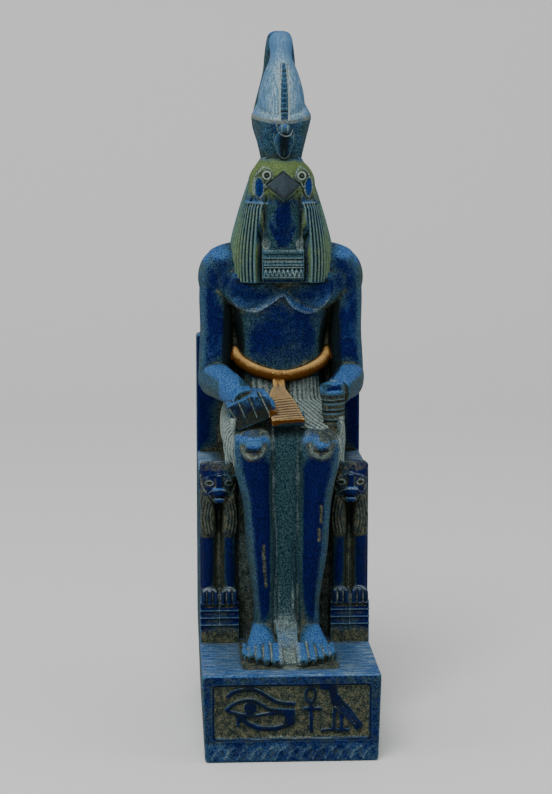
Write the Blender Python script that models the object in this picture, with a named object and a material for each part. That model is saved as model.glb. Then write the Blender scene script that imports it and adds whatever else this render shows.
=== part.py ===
"""Seated falcon-headed figure in a double crown, on a lion throne and plinth, cast in one piece.

Metres, +Z up. The origin is the centre of the plinth's underside, and the figure faces -Y.
"""

from math import cos, pi, radians, sin

import bmesh
import bpy
from mathutils import Matrix, Vector

# Plinth
PLINTH_WIDTH = 0.074
PLINTH_HEIGHT = 0.037
TOE_MARGIN = 0.011
PLINTH_TAPER = 0.0012
EDGE_ROUNDING = 0.0014

# Sunk panel on the plinth's front
PANEL_SIDE_MARGIN = 0.0045
PANEL_TOP_MARGIN = 0.0042
PANEL_FOOT_MARGIN = 0.0095
PANEL_DEPTH = 0.0014
PANEL_CORNER = 0.0016
RELIEF_SHARE = 0.85

# Throne
BACK_THICKNESS = 0.010
BACK_RISE = 0.0535
THRONE_BORDER = 0.0055
THRONE_PANEL_DEPTH = 0.0007
SQUARE_SHARE = 0.45

# Figure, from its soles to the top of its crown. Its own forms are drawn in
# units of which there are FIGURE_UNITS in that height.
FIGURE_HEIGHT = 0.263
FIGURE_UNITS = 263.0
UNIT = FIGURE_HEIGHT / FIGURE_UNITS

# Shares of the figure that the throne takes its size from, in units
SEAT_HEIGHT = 75.5
SEAT_DEPTH = 44.0
TOE_REACH = 95.0

# Fineness of the modelled forms, in units, and the share of faces kept
GRAIN = 0.6
SOFTENING = 1
KEPT_FACES = 0.0178
PANEL_GRAIN = 0.34
PANEL_KEPT_FACES = 0.0105

PLINTH_DEPTH = BACK_THICKNESS + TOE_REACH * UNIT + TOE_MARGIN
BACK_FACE = PLINTH_DEPTH / 2 - BACK_THICKNESS
SEAT_TOP = PLINTH_HEIGHT + SEAT_HEIGHT * UNIT
SEAT_FRONT = BACK_FACE - SEAT_DEPTH * UNIT
BACK_TOP = SEAT_TOP + BACK_RISE
FRONT = -PLINTH_DEPTH / 2
PANEL_WIDTH = PLINTH_WIDTH - 2 * PANEL_SIDE_MARGIN
PANEL_HEIGHT = PLINTH_HEIGHT - PANEL_TOP_MARGIN - PANEL_FOOT_MARGIN
THRONE_EDGE = PLINTH_WIDTH / 2 / UNIT

BOTH = (-1, 1)

# The tall crown's profile: x, y, z, half width and half depth, in units
TALL_CROWN = [
    (0, -22.6, 222, 10.2, 11.4), (0, -22.6, 230, 10.3, 11.2), (0, -22.6, 234.5, 10, 10.9),
    (0, -22.4, 238.6, 9.2, 10.1),
    (0, -22, 242.7, 8, 9), (0, -21.4, 246.8, 6.5, 7.6), (0, -20.6, 250.8, 4.9, 5.8), (0, -20, 254, 4.7, 5.4),
    (0, -19.6, 257.6, 5.2, 5.6), (0, -19.4, 260.6, 4.4, 4.8), (0, -19.3, 262.4, 2.2, 2.4),
]


def clear_scene():
    for old in list(bpy.data.objects):
        bpy.data.objects.remove(old)


def place(x, y, z):
    """A point of the figure: x across, y from the throne's back, z from the plinth's top, in units."""
    return Vector((x * UNIT, BACK_FACE + y * UNIT, PLINTH_HEIGHT + z * UNIT))


def between(a, b, c, d, t):
    """A smooth curve through b and c, for t from 0 to 1."""
    slope = c - a
    bend = 2 * a - 5 * b + 4 * c - d
    return 0.5 * (2 * b + slope * t + bend * t**2 + (3 * b - a - 3 * c + d) * t**3)


def sampled(stations, steps):
    """More stations along a smooth curve through the given ones."""
    ends = [stations[0], *stations, stations[-1]]
    found = []
    for i in range(len(stations) - 1):
        four = ends[i:i + 4]
        found += [tuple(between(*values, k / steps) for values in zip(*four)) for k in range(steps)]
    return [*found, stations[-1]]


def superellipse(angle, power):
    c, s = cos(angle), sin(angle)
    return (
        abs(c) ** (2 / power) * (1 if c > 0 else -1),
        abs(s) ** (2 / power) * (1 if s > 0 else -1),
    )


def loft(bm, stations, up=(0, 1, 0), power=2.2, sides=20, steps=3, carve=None):
    """A closed body through rings (x, y, z, half width, half depth), square to its run.

    carve(angle, share of the run) gives how far the skin stands out there, in units.
    """
    rows = sampled(stations, steps)
    middles = [Vector(row[:3]) for row in rows]
    loops = []
    for i, (middle, row) in enumerate(zip(middles, rows)):
        run = (middles[min(i + 1, len(rows) - 1)] - middles[max(i - 1, 0)]).normalized()
        across = Vector(up).cross(run).normalized()
        deep = run.cross(across)
        loop = []
        for k in range(sides):
            angle = 2 * pi * k / sides
            cx, cy = superellipse(angle, power)
            more = carve(angle, i / (len(rows) - 1)) if carve else 0.0
            point = middle + across * cx * (row[3] + more) + deep * cy * (row[4] + more)
            loop.append(bm.verts.new(place(*point)))
        loops.append([bm.edges.new((loop[k - 1], loop[k])) for k in range(sides)])
    for lower, upper in zip(loops, loops[1:]):
        bmesh.ops.bridge_loops(bm, edges=lower + upper)
    for loop in (loops[0], loops[-1]):
        bmesh.ops.edgeloop_fill(bm, edges=loop)


def blob(bm, centre, radii, tilt=0.0, axis="X"):
    """An ellipsoid, its radii in units, tilted about one axis in degrees."""
    shape = Matrix.Translation(place(*centre)) @ Matrix.Rotation(radians(tilt), 4, axis)
    size = Matrix.Diagonal((*[r * UNIT for r in radii], 1.0))
    bmesh.ops.create_uvsphere(bm, u_segments=24, v_segments=16, radius=1.0, matrix=shape @ size)


def slab(bm, low, high):
    """A box between two corners in units."""
    middle = (place(*low) + place(*high)) / 2
    size = place(*high) - place(*low)
    bmesh.ops.create_cube(bm, size=1.0, matrix=Matrix.Translation(middle) @ Matrix.Diagonal((*size, 1.0)))


def hull(bm, points):
    made = [bm.verts.new(place(*point)) for point in points]
    bmesh.ops.convex_hull(bm, input=made, use_existing_faces=False)


def ridges(count, height, first=0.0, last=2 * pi):
    """Carving for a loft: count rounded ridges between two angles."""

    def carve(angle, _share):
        if not first <= angle <= last:
            return 0.0
        return height * cos(2 * pi * count * (angle - first) / (last - first))

    return carve


def model_torso(bm):
    loft(bm, [
        (0, -18, 74, 24, 19), (0, -18, 95, 22.5, 18.5), (0, -18, 110, 19.5, 17), (0, -18, 120, 18.4, 16.2),
        (0, -17.8, 128, 19, 15.6), (0, -17.5, 136, 20.8, 15.4), (0, -17.4, 144, 23, 15.6),
        (0, -17.2, 153, 26, 15), (0, -17, 162, 25, 13), (0, -17, 170, 20, 10), (0, -17, 175, 12, 7),
    ], power=2.4, sides=40)
    loft(bm, [
        (-35, -18.6, 157, 2.2, 2.2), (-33.4, -18.6, 157, 6.4, 6.4), (-30, -18.6, 157.2, 10.2, 9.6),
        (-24, -18.4, 159.4, 11.6, 12),
        (-12, -18, 162, 11, 13.2), (0, -18, 163, 10.5, 13.2), (12, -18, 162, 11, 13.2),
        (24, -18.4, 159.4, 11.6, 12),
        (30, -18.6, 157.2, 10.2, 9.6), (33.4, -18.6, 157, 6.4, 6.4), (35, -18.6, 157, 2.2, 2.2),
    ], sides=28)
    for side in BOTH:
        blob(bm, (side * 12.6, -26.2, 152.6), (15, 9, 11), 8)
        slab(bm, (side * 21 - 9, -20, 104), (side * 21 + 9, -11, 160))
    blob(bm, (0, -23, 128), (17, 10.8, 20))
    slab(bm, (-19, -12, 74), (19, 2, 127))


def model_belt(bm):
    """A rounded band that dips at the front of the waist."""
    count = 48
    rows = []
    for k in range(count + 1):
        angle = 2 * pi * k / count
        y = -18.2 - 18.6 * cos(angle)
        rise = 9.5 * min(1.0, (1 - cos(angle)) ** 0.8)
        rows.append((20.6 * sin(angle), y, 114.3 + rise, 2.2, 2.5))
    loft(bm, rows[:-1], up=(0, 0, 1), sides=10, steps=1)


def model_arms(bm):
    for side in BOTH:
        loft(bm, [
            (side * 27.6, -18.4, 162, 7.8, 9), (side * 28.2, -18.6, 148, 7.7, 9.4),
            (side * 28.5, -19.6, 133, 7.1, 8.8), (side * 29, -21.6, 120, 7.2, 8.4),
            (side * 29.4, -23.6, 110, 7, 7.2),
        ], sides=24)
        blob(bm, (side * 28.2, -18.6, 156.4), (8.2, 9.8, 11.8))
        blob(bm, (side * 29.2, -23.4, 112.4), (7.5, 8.8, 8.8))
    loft(bm, [
        (-30, -21, 112.4, 6.9, 7.6), (-26.8, -33, 111.4, 6.8, 7.4), (-22, -45, 109.4, 6.2, 6.2),
        (-17, -54, 106.2, 6, 4.8),
    ], up=(0, 0, 1), sides=24)
    loft(bm, [
        (30, -21, 112.4, 6.9, 7.6), (28.6, -33, 111.4, 6.7, 7.2), (25.4, -44, 110.6, 6, 6.2),
        (22.6, -52, 109.2, 5.6, 5.6),
    ], up=(0, 0, 1), sides=24)


def model_flat_fist(bm):
    """The fist that lies knuckles up on the thigh: four fingers side by side, bent down over its front."""
    for k in range(4):
        x, z = -22.4 + 4.2 * k, 104.6 + 1.6 * k
        lean = 1.6 + 0.9 * k
        loft(bm, [
            (x - 1, -50, z - 0.6, 2.3, 2.4), (x, -57.6, z, 2.35, 2.7),
            (x + 0.3 * lean, -61.4, z - 1.8, 2.3, 2.8),
            (x + 0.7 * lean, -62.4, z - 5.4, 2.25, 2.8), (x + lean, -60.4, z - 8, 1.9, 2.4),
        ], up=(1, 0.2, 0), sides=14)
    blob(bm, (-15.6, -52.5, 103.6), (9.6, 8.6, 5.8), -18, "Y")
    blob(bm, (-10, -57, 102.6), (4.5, 4, 3.6))
    slab(bm, (-20, -58, 93), (8, -40, 100.6))
    slab(bm, (-19, -61.4, 93), (-6, -50, 99.6))
    slab(bm, (-14, -51, 98), (-4, -42, 103))
    thumb = [(-9, -50, 106.4, 2.4, 2.4), (-6.6, -56.4, 105, 2.1, 2.2), (-5.4, -60.6, 101.6, 1.8, 1.9)]
    loft(bm, thumb, up=(1, 0, 0), sides=12)


def model_upright_fist(bm):
    """The fist that stands on the thigh and grips a short roll: four fingers on each other."""
    for k in range(4):
        share = (0.78, 0.93, 1.0, 1.04)[k]
        blob(bm, (21.6, -56.6, 97.6 + 4.3 * k), (6.7 * share, 6.6 * share, 2.6), -4, "Y")
    loft(bm, [
        (22.4, -53.5, 91, 3, 4), (22.2, -53.6, 97, 5.2, 5.6), (21.9, -53.8, 106, 6.3, 6.4),
        (21.8, -53.6, 112.6, 6.6, 6.2),
    ])
    loft(bm, [(22.6, -54.6, 106, 2.8, 2.6), (22.6, -54.6, 114.9, 2.8, 2.6)])
    slab(bm, (15, -57, 92), (27, -40, 105))
    blob(bm, (16.4, -56, 111.4), (2.5, 5.4, 2.4), 20)


def pleats(count, depth, first=0.1, last=0.86):
    """Carving for a thigh: shallow folds that run round it."""

    def carve(_angle, share):
        if not first <= share <= last:
            return 0.0
        return depth * cos(2 * pi * count * (share - first) / (last - first))

    return carve


def model_legs(bm):
    loft(bm, [
        (0, 2, 90, 25, 15), (0, -12, 91, 26.4, 15.4), (0, -26, 91.6, 27, 13.8),
        (0, -38, 91.2, 26.8, 11.6), (0, -50, 89.6, 26, 9), (0, -60, 87, 23, 7.4),
    ], up=(0, 0, 1), power=3, sides=40)
    for side in BOTH:
        loft(bm, [
            (side * 12.9, -10, 89, 13, 12), (side * 13, -34, 88.6, 13, 12.6),
            (side * 13.4, -50, 87, 12.8, 11.4),
            (side * 13.9, -60, 87, 9.4, 8.8), (side * 14.2, -67, 86, 7.4, 7),
        ], up=(0, 0, 1), power=2.4, sides=32, steps=20, carve=pleats(13, 0.3))
        blob(bm, (side * 14.2, -62.4, 86), (9.1, 10.4, 9.4))
        loft(bm, [
            (side * 14.3, -62, 89, 8.9, 9.8), (side * 14, -61.4, 80, 8.6, 10.6),
            (side * 13.4, -60.4, 72, 8, 11),
            (side * 12.6, -59.2, 62, 7.4, 11.3),
            (side * 11.4, -57.6, 43, 6.8, 11), (side * 10.2, -57, 21, 4.9, 8.8),
            (side * 10, -57.8, 11, 4.7, 8),
            (side * 10, -58, 3, 5, 8.4),
        ], power=1.9, sides=24)
        model_kneecap(bm, side * 14.2)
        slab(bm, (side * 22.5 - 3, -53, 73), (side * 22.5 + 3, -43, 84))
        loft(bm, [
            (side * 9.9, -50, 5, 5, 6), (side * 9.9, -60, 5, 5.4, 7.4), (side * 10.4, -70, 3.2, 6.6, 6.2),
            (side * 11, -79, 1.6, 7.9, 4.8), (side * 11, -85, 1, 8, 3.8),
        ], up=(0, 0, 1))
        model_toes(bm, side)
    model_between_legs(bm)


def model_kneecap(bm, x):
    """A small square kneecap in a raised horseshoe of skin."""
    blob(bm, (x, -69.6, 88), (5.4, 4, 6.2))
    profile = ((-66, 93), (-73.6, 92.6), (-74.8, 90.4), (-66, 88.6))
    hull(bm, [(x + part * 3.9, y, z) for part in BOTH for y, z in profile])


def model_between_legs(bm):
    """The block is left standing between the shins, and runs out as a ramp between the feet."""
    shins = ((9, -40, 88), (9, -40, -2), (9, -62.4, 84), (8, -63.8, 60), (6, -63.6, 30), (6, -56, -2))
    ankles = ((5, -56, 36), (5, -63.6, 28), (4.6, -66.4, 11), (4.6, -56, -2), (4.6, -66, -2))
    feet = ((4.6, -60, 14), (4.2, -73, 4.6), (3.6, -90, 0.6), (4.6, -56, -2), (3.6, -90, -2))
    for corners in (shins, ankles, feet):
        hull(bm, [(part * x, y, z) for part in BOTH for x, y, z in corners])
    slab(bm, (-14, -62, 74), (14, -18, 92))
    slab(bm, (-17, -78, -2), (17, -44, 2.6))


def model_toes(bm, side):
    """A great toe and four that step back from it."""
    edge, tip = 2.6, -95.0
    for k, width in enumerate((5.2, 3.5, 3.2, 2.9, 2.5)):
        half = width / 2
        x = side * (edge + half)
        loft(bm, [
            (x - side * 0.3, -80, 4.6 - 0.3 * k, half * 0.94, 2.6), (x, tip + 7.5, 3.2, half * 0.98, 2.6),
            (x, tip + 3.4, 2.4, half, 2.5), (x, tip + 1, 2, half * 0.94, 2.1),
            (x, tip, 1.8, half * 0.66, 1.4),
        ], up=(0, 0, 1), sides=14)
        edge += width
        tip += (1.6, 3, 3.6, 4, 0)[k]


def model_apron(bm):
    """The pleated tongue that hangs from the belt and juts out over the knees."""
    loft(bm, [
        (-0.6, -36, 114, 2.6, 1.6), (-0.6, -40.5, 109.4, 2.7, 1.7), (-0.9, -44, 106.8, 3.8, 1.7),
        (-0.6, -50, 103.8, 5.4, 1.8),
        (0, -58, 100.4, 6.7, 1.9), (0.4, -65.2, 98, 7.2, 1.9),
    ], up=(0, 0, 1), power=5, sides=20, steps=8, carve=pleats(10, 0.22, 0.36, 1.0))
    hull(bm, [(part * 6, y, z) for part in BOTH for y, z in ((-40, 104), (-62, 97), (-62, 90), (-40, 90))])
    under_neck = ((-32, 112), (-40, 108.4), (-44, 105.6), (-52, 101.6), (-52, 96), (-32, 96))
    hull(bm, [(part * 2.3 - 0.6, y, z) for part in BOTH for y, z in under_neck])


def wig_locks(angle, share):
    """The locks stand out as ridges below the ears, and the front is set back between the lappets."""
    front = abs(angle - 1.5 * pi)
    if front < 0.46 and share > 0.3:
        return -4.0
    if front < 0.95 and share < 0.44:
        return -1.0
    return 0.55 * cos(58 * angle) * min(1.0, max(0.0, share * 4 - 1))


def model_wig(bm):
    """A striped wig with a lappet down each side of the throat, over a collar in three rows."""
    loft(bm, [
        (0, -23, 209.5, 8, 9.4), (0, -22.6, 205.4, 10.6, 12.6), (0, -22, 200.5, 13.2, 15.4),
        (0, -21.2, 190, 16.8, 18.2),
        (0, -20.4, 181.5, 19.4, 19.6), (0, -20, 172, 21.8, 20.4), (0, -20, 163, 22, 20.4),
        (0, -20, 155, 21, 19.6),
    ], sides=248, steps=3, carve=wig_locks)
    loft(bm, [
        (0, -20, 157, 8.4, 18), (0, -20, 172, 8.6, 19.6), (0, -20, 186, 8.6, 18.6), (0, -20, 196, 8.4, 16),
    ], power=4, sides=32)
    slab(bm, (-8.8, -40.2, 156.6), (8.8, -20, 169.6))
    for k in range(3):
        slab(bm, (-8.4, -40.9, 157.6 + 4.1 * k), (8.4, -20, 160.4 + 4.1 * k))


def model_head(bm):
    """A falcon's head: full cheeks, arched rims over round eyes, a short broad beak and a full throat."""
    blob(bm, (0, -25.6, 197.5), (14.4, 13.6, 12.2))
    blob(bm, (0, -28.6, 183), (8.4, 12.8, 15))
    hull(bm, [
        (0, -38.4, 203.2), (-7.8, -37.4, 195.8), (7.8, -37.4, 195.8), (0, -42.6, 202.4), (0, -46.8, 198),
        (-2, -46, 195.4),
        (2, -46, 195.4), (0, -47.6, 192.6), (0, -45.6, 190.6), (0, -38, 189.6),
    ])
    for side in BOTH:
        blob(bm, (side * 7.8, -37, 200.8), (2.5, 1.9, 2.6), side * 26, "Z")
        loft(bm, [
            (side * 4.6, -38.2, 200.6, 1, 0.8), (side * 5.4, -37.8, 203.8, 1.1, 0.8),
            (side * 8.2, -35.6, 205.2, 1.1, 0.9),
            (side * 11.2, -32.8, 203, 1, 0.9), (side * 12.8, -31.4, 198.4, 1, 0.9),
            (side * 13, -31.6, 192, 1, 1),
        ], sides=10)
        blob(bm, (side * 10.4, -34.4, 195.8), (1.9, 2.4, 4.7), side * 38, "Z")


def model_crown(bm):
    """A tall crown inside a low one, whose back runs up into a spire, with a cobra up the front."""
    loft(bm, [
        (0, -22, 204, 8.6, 9.8), (0, -22, 208.5, 9, 10.2), (0, -22, 217, 11, 12), (0, -22, 224.6, 13.1, 14),
    ], power=2.7, sides=36, steps=2)
    ledge = [(0, -22, 224.4, 13.1, 14), (0, -22, 226, 12.9, 13.2), (0, -21, 232, 10.2, 9)]
    loft(bm, ledge, power=2.7, sides=36, steps=1)
    loft(bm, TALL_CROWN, sides=28)
    loft(bm, [
        (-0.2, -12.2, 222, 12.6, 4.4), (-0.2, -12, 230, 11.2, 4.2), (-0.2, -11.8, 244.6, 7.5, 4.2),
        (-0.2, -11.8, 252, 6.7, 4.2),
        (-0.2, -11.8, 259, 5.7, 4.2), (-0.2, -11.8, 262, 4.4, 3.4), (-0.2, -11.8, 263, 2, 1.6),
    ], power=3)
    model_cobra(bm)


def model_cobra(bm):
    """A reared cobra on the low crown, whose body runs up the tall one as a string of beads."""
    loft(bm, [
        (0.6, -32.8, 208.4, 2, 2), (0.6, -34.6, 212.4, 3.2, 1.7), (0.6, -36.2, 216.6, 4.2, 1.6),
        (0.6, -37, 219.4, 2.8, 1.5),
    ], sides=16)
    blob(bm, (0.6, -37.8, 221), (2.7, 3, 2))
    rows = [row for row in sampled(TALL_CROWN, 6) if 226 < row[2] < 248.6]
    for k, row in enumerate(rows[::2]):
        thinning = 1 - 0.5 * k / len(rows[::2])
        blob(bm, (0.8, row[1] - row[4] - 0.1, row[2]), (1.7 * thinning, 1.3, 1))


def model_lion(bm, side):
    """A lion's forequarters in high relief on one front corner of the throne, its paws on a banded step."""
    x = side * (THRONE_EDGE - 8.7)
    slab(bm, (x - 8.3, -52.6, -1), (x + 8.3, -40, 15.6))
    for k in range(3):
        slab(bm, (x - 8.5, -53.9, 5.6 + 3.6 * k), (x + 8.5, -40, 7.8 + 3.6 * k))
    slab(bm, (x - 8.2, -46.4, 10), (x + 8.2, -40, 66))
    slab(bm, (x - 0.9, -49, 15), (x + 0.9, -40, 56))
    for part in BOTH:
        leg = x + part * 4.7
        loft(bm, [
            (leg, -45.4, 14, 3.4, 5), (leg, -45.4, 24, 3, 5), (leg, -45.6, 38, 3, 5.2),
            (leg, -45.4, 50, 3.4, 5.4),
        ], sides=16)
        blob(bm, (x + part * 4.2, -49.2, 19.6), (4.1, 4.8, 3.9))
        for toe in (-1.5, -0.5, 0.5, 1.5):
            blob(bm, (x + part * 4.2 + toe * 1.9, -52.6, 19), (1.15, 2, 3.2))
        loft(bm, [
            (x + part * 4.2, -46, 46, 3.6, 4.6), (x + part * 4.4, -46, 56, 3.7, 5),
            (x + part * 4.3, -46, 68, 3.6, 5.4),
        ], sides=24, carve=ridges(7, 0.35))
        blob(bm, (x + part * 6, -47, 76.4), (2.3, 3, 2.4))
        blob(bm, (x + part * 3.9, -53.6, 72), (2, 1.4, 1.6))
    loft(bm, [
        (x, -48, 61.4, 2.4, 3.4), (x, -48, 65, 4.8, 6.2), (x, -47.6, 70, 7, 7.4), (x, -47, 75, 7.8, 7.4),
        (x, -46, 78, 6.4, 6),
    ], power=2.4, sides=24)
    blob(bm, (x, -54.4, 67), (3.2, 2.8, 2.4))
    blob(bm, (x, -54.6, 63.4), (2.6, 2, 1.3))
    slab(bm, (x - 1.1, -56, 68), (x + 1.1, -50, 74))


def block(name, low, high, rounding=EDGE_ROUNDING, taper=0.0, edges="XYZ", sharp_foot=False):
    """A block between two corners in metres, with its edges along the named axes rounded.

    It is narrower by taper each side at its foot. A sharp foot stands in the block below it.
    """
    bm = bmesh.new()
    low, high = Vector(low), Vector(high)
    shape = Matrix.Translation((low + high) / 2) @ Matrix.Diagonal((*(high - low), 1.0))
    bmesh.ops.create_cube(bm, size=1.0, matrix=shape)
    middle = (low.z + high.z) / 2
    chosen = []
    for edge in bm.edges:
        run = edge.verts[1].co - edge.verts[0].co
        along = "XYZ"[max(range(3), key=lambda i: abs(run[i]))]
        is_foot = max(corner.co.z for corner in edge.verts) < middle
        if along in edges and not (sharp_foot and is_foot):
            chosen.append(edge)
    for corner in bm.verts:
        if corner.co.z < middle:
            corner.co.x -= taper if corner.co.x > 0 else -taper
    bmesh.ops.bevel(bm, geom=chosen, offset=rounding, segments=2, profile=0.5, affect="EDGES", material=-1)
    return as_object(name, bm)


def as_object(name, bm):
    bmesh.ops.recalc_face_normals(bm, faces=bm.faces[:])
    mesh = bpy.data.meshes.new(name)
    bm.to_mesh(mesh)
    bm.free()
    made = bpy.data.objects.new(name, mesh)
    bpy.context.scene.collection.objects.link(made)
    return made


def hide(helper):
    helper.hide_render = True
    helper.display_type = "WIRE"
    return helper


def combine(target, operation, helper):
    step = target.modifiers.new(f"{operation.lower()} {helper.name}", "BOOLEAN")
    step.operation = operation
    step.solver = "EXACT"
    step.object = hide(helper)


def melted(name, bm, grain, kept):
    """Overlapping forms made one skin, softened and thinned."""
    forms = as_object(name, bm)
    melt = forms.modifiers.new("melt", "REMESH")
    melt.mode = "VOXEL"
    melt.voxel_size = grain * UNIT
    soften = forms.modifiers.new("soften", "SMOOTH")
    soften.factor = 0.5
    soften.iterations = SOFTENING
    thin = forms.modifiers.new("thin", "DECIMATE")
    thin.ratio = kept
    return forms


def model_figure():
    bm = bmesh.new()
    model_torso(bm)
    model_belt(bm)
    model_arms(bm)
    model_flat_fist(bm)
    model_upright_fist(bm)
    model_legs(bm)
    model_apron(bm)
    model_wig(bm)
    model_head(bm)
    model_crown(bm)
    for side in BOTH:
        model_lion(bm, side)
    return melted("carved forms", bm, GRAIN, KEPT_FACES)


def on_panel(across, up):
    """A point on the sunk panel's floor, from shares of its width and height, in units."""
    x = (across - 0.5) * PANEL_WIDTH
    z = PANEL_FOOT_MARGIN + up * PANEL_HEIGHT
    return x / UNIT, (FRONT + PANEL_DEPTH - BACK_FACE) / UNIT, (z - PLINTH_HEIGHT) / UNIT


def stroke(bm, points, width, thin_end=1.0):
    """A raised line through points on the panel, its half width in shares of the panel's height."""
    half = width * PANEL_HEIGHT / UNIT
    height = RELIEF_SHARE * PANEL_DEPTH / UNIT
    stations = []
    for k, point in enumerate(points):
        narrowing = 1 + (thin_end - 1) * k / (len(points) - 1)
        stations.append((*on_panel(*point), half * narrowing, height))
    loft(bm, stations, sides=12)


def model_eye(bm):
    """The falcon's eye amulet: brow, lids, round pupil, drop and curled cheek line."""
    brow = [
        (0.087, 0.77), (0.134, 0.87), (0.213, 0.91), (0.277, 0.895), (0.34, 0.79), (0.411, 0.68),
        (0.522, 0.64),
    ]
    upper_lid = [
        (0.079, 0.55), (0.134, 0.655), (0.206, 0.725), (0.261, 0.715), (0.308, 0.635), (0.372, 0.55),
        (0.522, 0.52),
    ]
    lower_lid = [
        (0.079, 0.55), (0.158, 0.475), (0.245, 0.435), (0.308, 0.455), (0.372, 0.475), (0.522, 0.485),
    ]
    cheek = [
        (0.166, 0.455), (0.213, 0.318), (0.277, 0.227), (0.34, 0.2), (0.411, 0.216), (0.482, 0.273),
        (0.515, 0.35),
    ]
    stroke(bm, brow, 0.034)
    stroke(bm, upper_lid, 0.03)
    stroke(bm, lower_lid, 0.028)
    stroke(bm, cheek, 0.038)
    stroke(bm, [(0.15, 0.477), (0.158, 0.4), (0.162, 0.24)], 0.04, 0.5)
    stroke(bm, [(0.45, 0.385), (0.519, 0.385)], 0.085)
    radius = 0.135 * PANEL_HEIGHT / UNIT
    blob(bm, on_panel(0.237, 0.58), (radius, RELIEF_SHARE * PANEL_DEPTH / UNIT, radius))


def model_looped_cross(bm):
    loop = [(0.618 + 0.031 * sin(2 * pi * k / 16), 0.81 - 0.135 * cos(2 * pi * k / 16)) for k in range(17)]
    stroke(bm, loop, 0.026)
    stroke(bm, [(0.569, 0.557), (0.688, 0.55)], 0.03)
    stroke(bm, [(0.62, 0.67), (0.624, 0.114)], 0.032)


def model_bird(bm):
    """A standing bird in profile, with a long folded wing."""
    stroke(bm, [(0.676, 0.935), (0.765, 0.94)], 0.034)
    stroke(bm, [(0.76, 0.945), (0.762, 0.82), (0.774, 0.7)], 0.064)
    stroke(bm, [(0.768, 0.74), (0.8, 0.63), (0.845, 0.5), (0.888, 0.35), (0.932, 0.19)], 0.096, 0.7)
    stroke(bm, [(0.772, 0.62), (0.767, 0.4), (0.766, 0.17)], 0.03)
    stroke(bm, [(0.792, 0.56), (0.812, 0.4), (0.816, 0.17)], 0.03)
    stroke(bm, [(0.685, 0.162), (0.77, 0.165)], 0.022)
    stroke(bm, [(0.785, 0.162), (0.868, 0.162)], 0.022)


def model_panel_figures():
    """An eye, a looped cross and a bird, standing on a bed that is sunk in the plinth."""
    bm = bmesh.new()
    model_eye(bm)
    model_looped_cross(bm)
    model_bird(bm)
    low, high = Vector(on_panel(0.03, 0.05)), Vector(on_panel(0.97, 0.95))
    bed = PANEL_DEPTH / UNIT
    slab(bm, low + Vector((0, 0.5 * bed, 0)), high + Vector((0, 1.6 * bed, 0)))
    return melted("panel figures", bm, PANEL_GRAIN, PANEL_KEPT_FACES)


def cut_front_panel(statue):
    half = PANEL_WIDTH / 2
    low = (-half, FRONT - PANEL_DEPTH, PANEL_FOOT_MARGIN)
    high = (half, FRONT + PANEL_DEPTH, PLINTH_HEIGHT - PANEL_TOP_MARGIN)
    combine(statue, "DIFFERENCE", block("front panel", low, high, PANEL_CORNER, edges="Y"))


def cut_throne_panels(statue):
    """Each side of the throne has a sunk panel that leaves a plain square standing at its lower rear."""
    rear = PLINTH_DEPTH / 2 - THRONE_BORDER
    front, foot, top = SEAT_FRONT + THRONE_BORDER, PLINTH_HEIGHT + THRONE_BORDER, SEAT_TOP - THRONE_BORDER
    square = SQUARE_SHARE * (top - foot)
    outlines = {
        "upper": ((front, foot + square), (rear, top)),
        "lower": ((front, foot), (rear - square, foot + square + THRONE_BORDER)),
    }
    for side in BOTH:
        across = sorted((side * PLINTH_WIDTH, side * (PLINTH_WIDTH / 2 - THRONE_PANEL_DEPTH)))
        for name, (low, high) in outlines.items():
            inner, outer = (across[0], *low), (across[1], *high)
            cutter = block(f"{name} panel {side}", inner, outer, THRONE_PANEL_DEPTH, edges="X")
            combine(statue, "DIFFERENCE", cutter)
    half = PLINTH_WIDTH / 2 - THRONE_BORDER
    low = (-half, PLINTH_DEPTH / 2 - THRONE_PANEL_DEPTH, foot)
    high = (half, PLINTH_DEPTH, BACK_TOP - THRONE_BORDER)
    combine(statue, "DIFFERENCE", block("rear panel", low, high, THRONE_PANEL_DEPTH, edges="Y"))


def build():
    clear_scene()
    half, rear = PLINTH_WIDTH / 2, PLINTH_DEPTH / 2
    statue = block("horus_statue", (-half, FRONT, 0), (half, rear, PLINTH_HEIGHT), taper=PLINTH_TAPER)
    root = PLINTH_HEIGHT - EDGE_ROUNDING
    seat = block("seat", (-half, SEAT_FRONT, root), (half, rear, SEAT_TOP), sharp_foot=True)
    back = block("back slab", (-half, BACK_FACE, root), (half, rear, BACK_TOP), sharp_foot=True)
    combine(statue, "UNION", seat)
    combine(statue, "UNION", back)
    cut_throne_panels(statue)
    cut_front_panel(statue)
    combine(statue, "UNION", model_figure())
    combine(statue, "UNION", model_panel_figures())
    finish(statue)


def finish(statue):
    """The cast's colour under its washes."""
    cast = bpy.data.materials.new("patinated cast")
    cast.use_nodes = True
    shader = cast.node_tree.nodes["Principled BSDF"]
    shader.inputs["Base Color"].default_value = (0.06, 0.13, 0.3, 1)
    shader.inputs["Roughness"].default_value = 0.62
    statue.data.materials.append(cast)


build()
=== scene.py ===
"""Dressed model of a seated falcon-headed figure on a lion throne, one cast with a painted patina.

Lengths in the shapes are millimetres: x across, y from the front of the throne's back slab, z from the
plinth's top. The frame itself is in metres, with its origin under the plinth's middle.
"""

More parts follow.
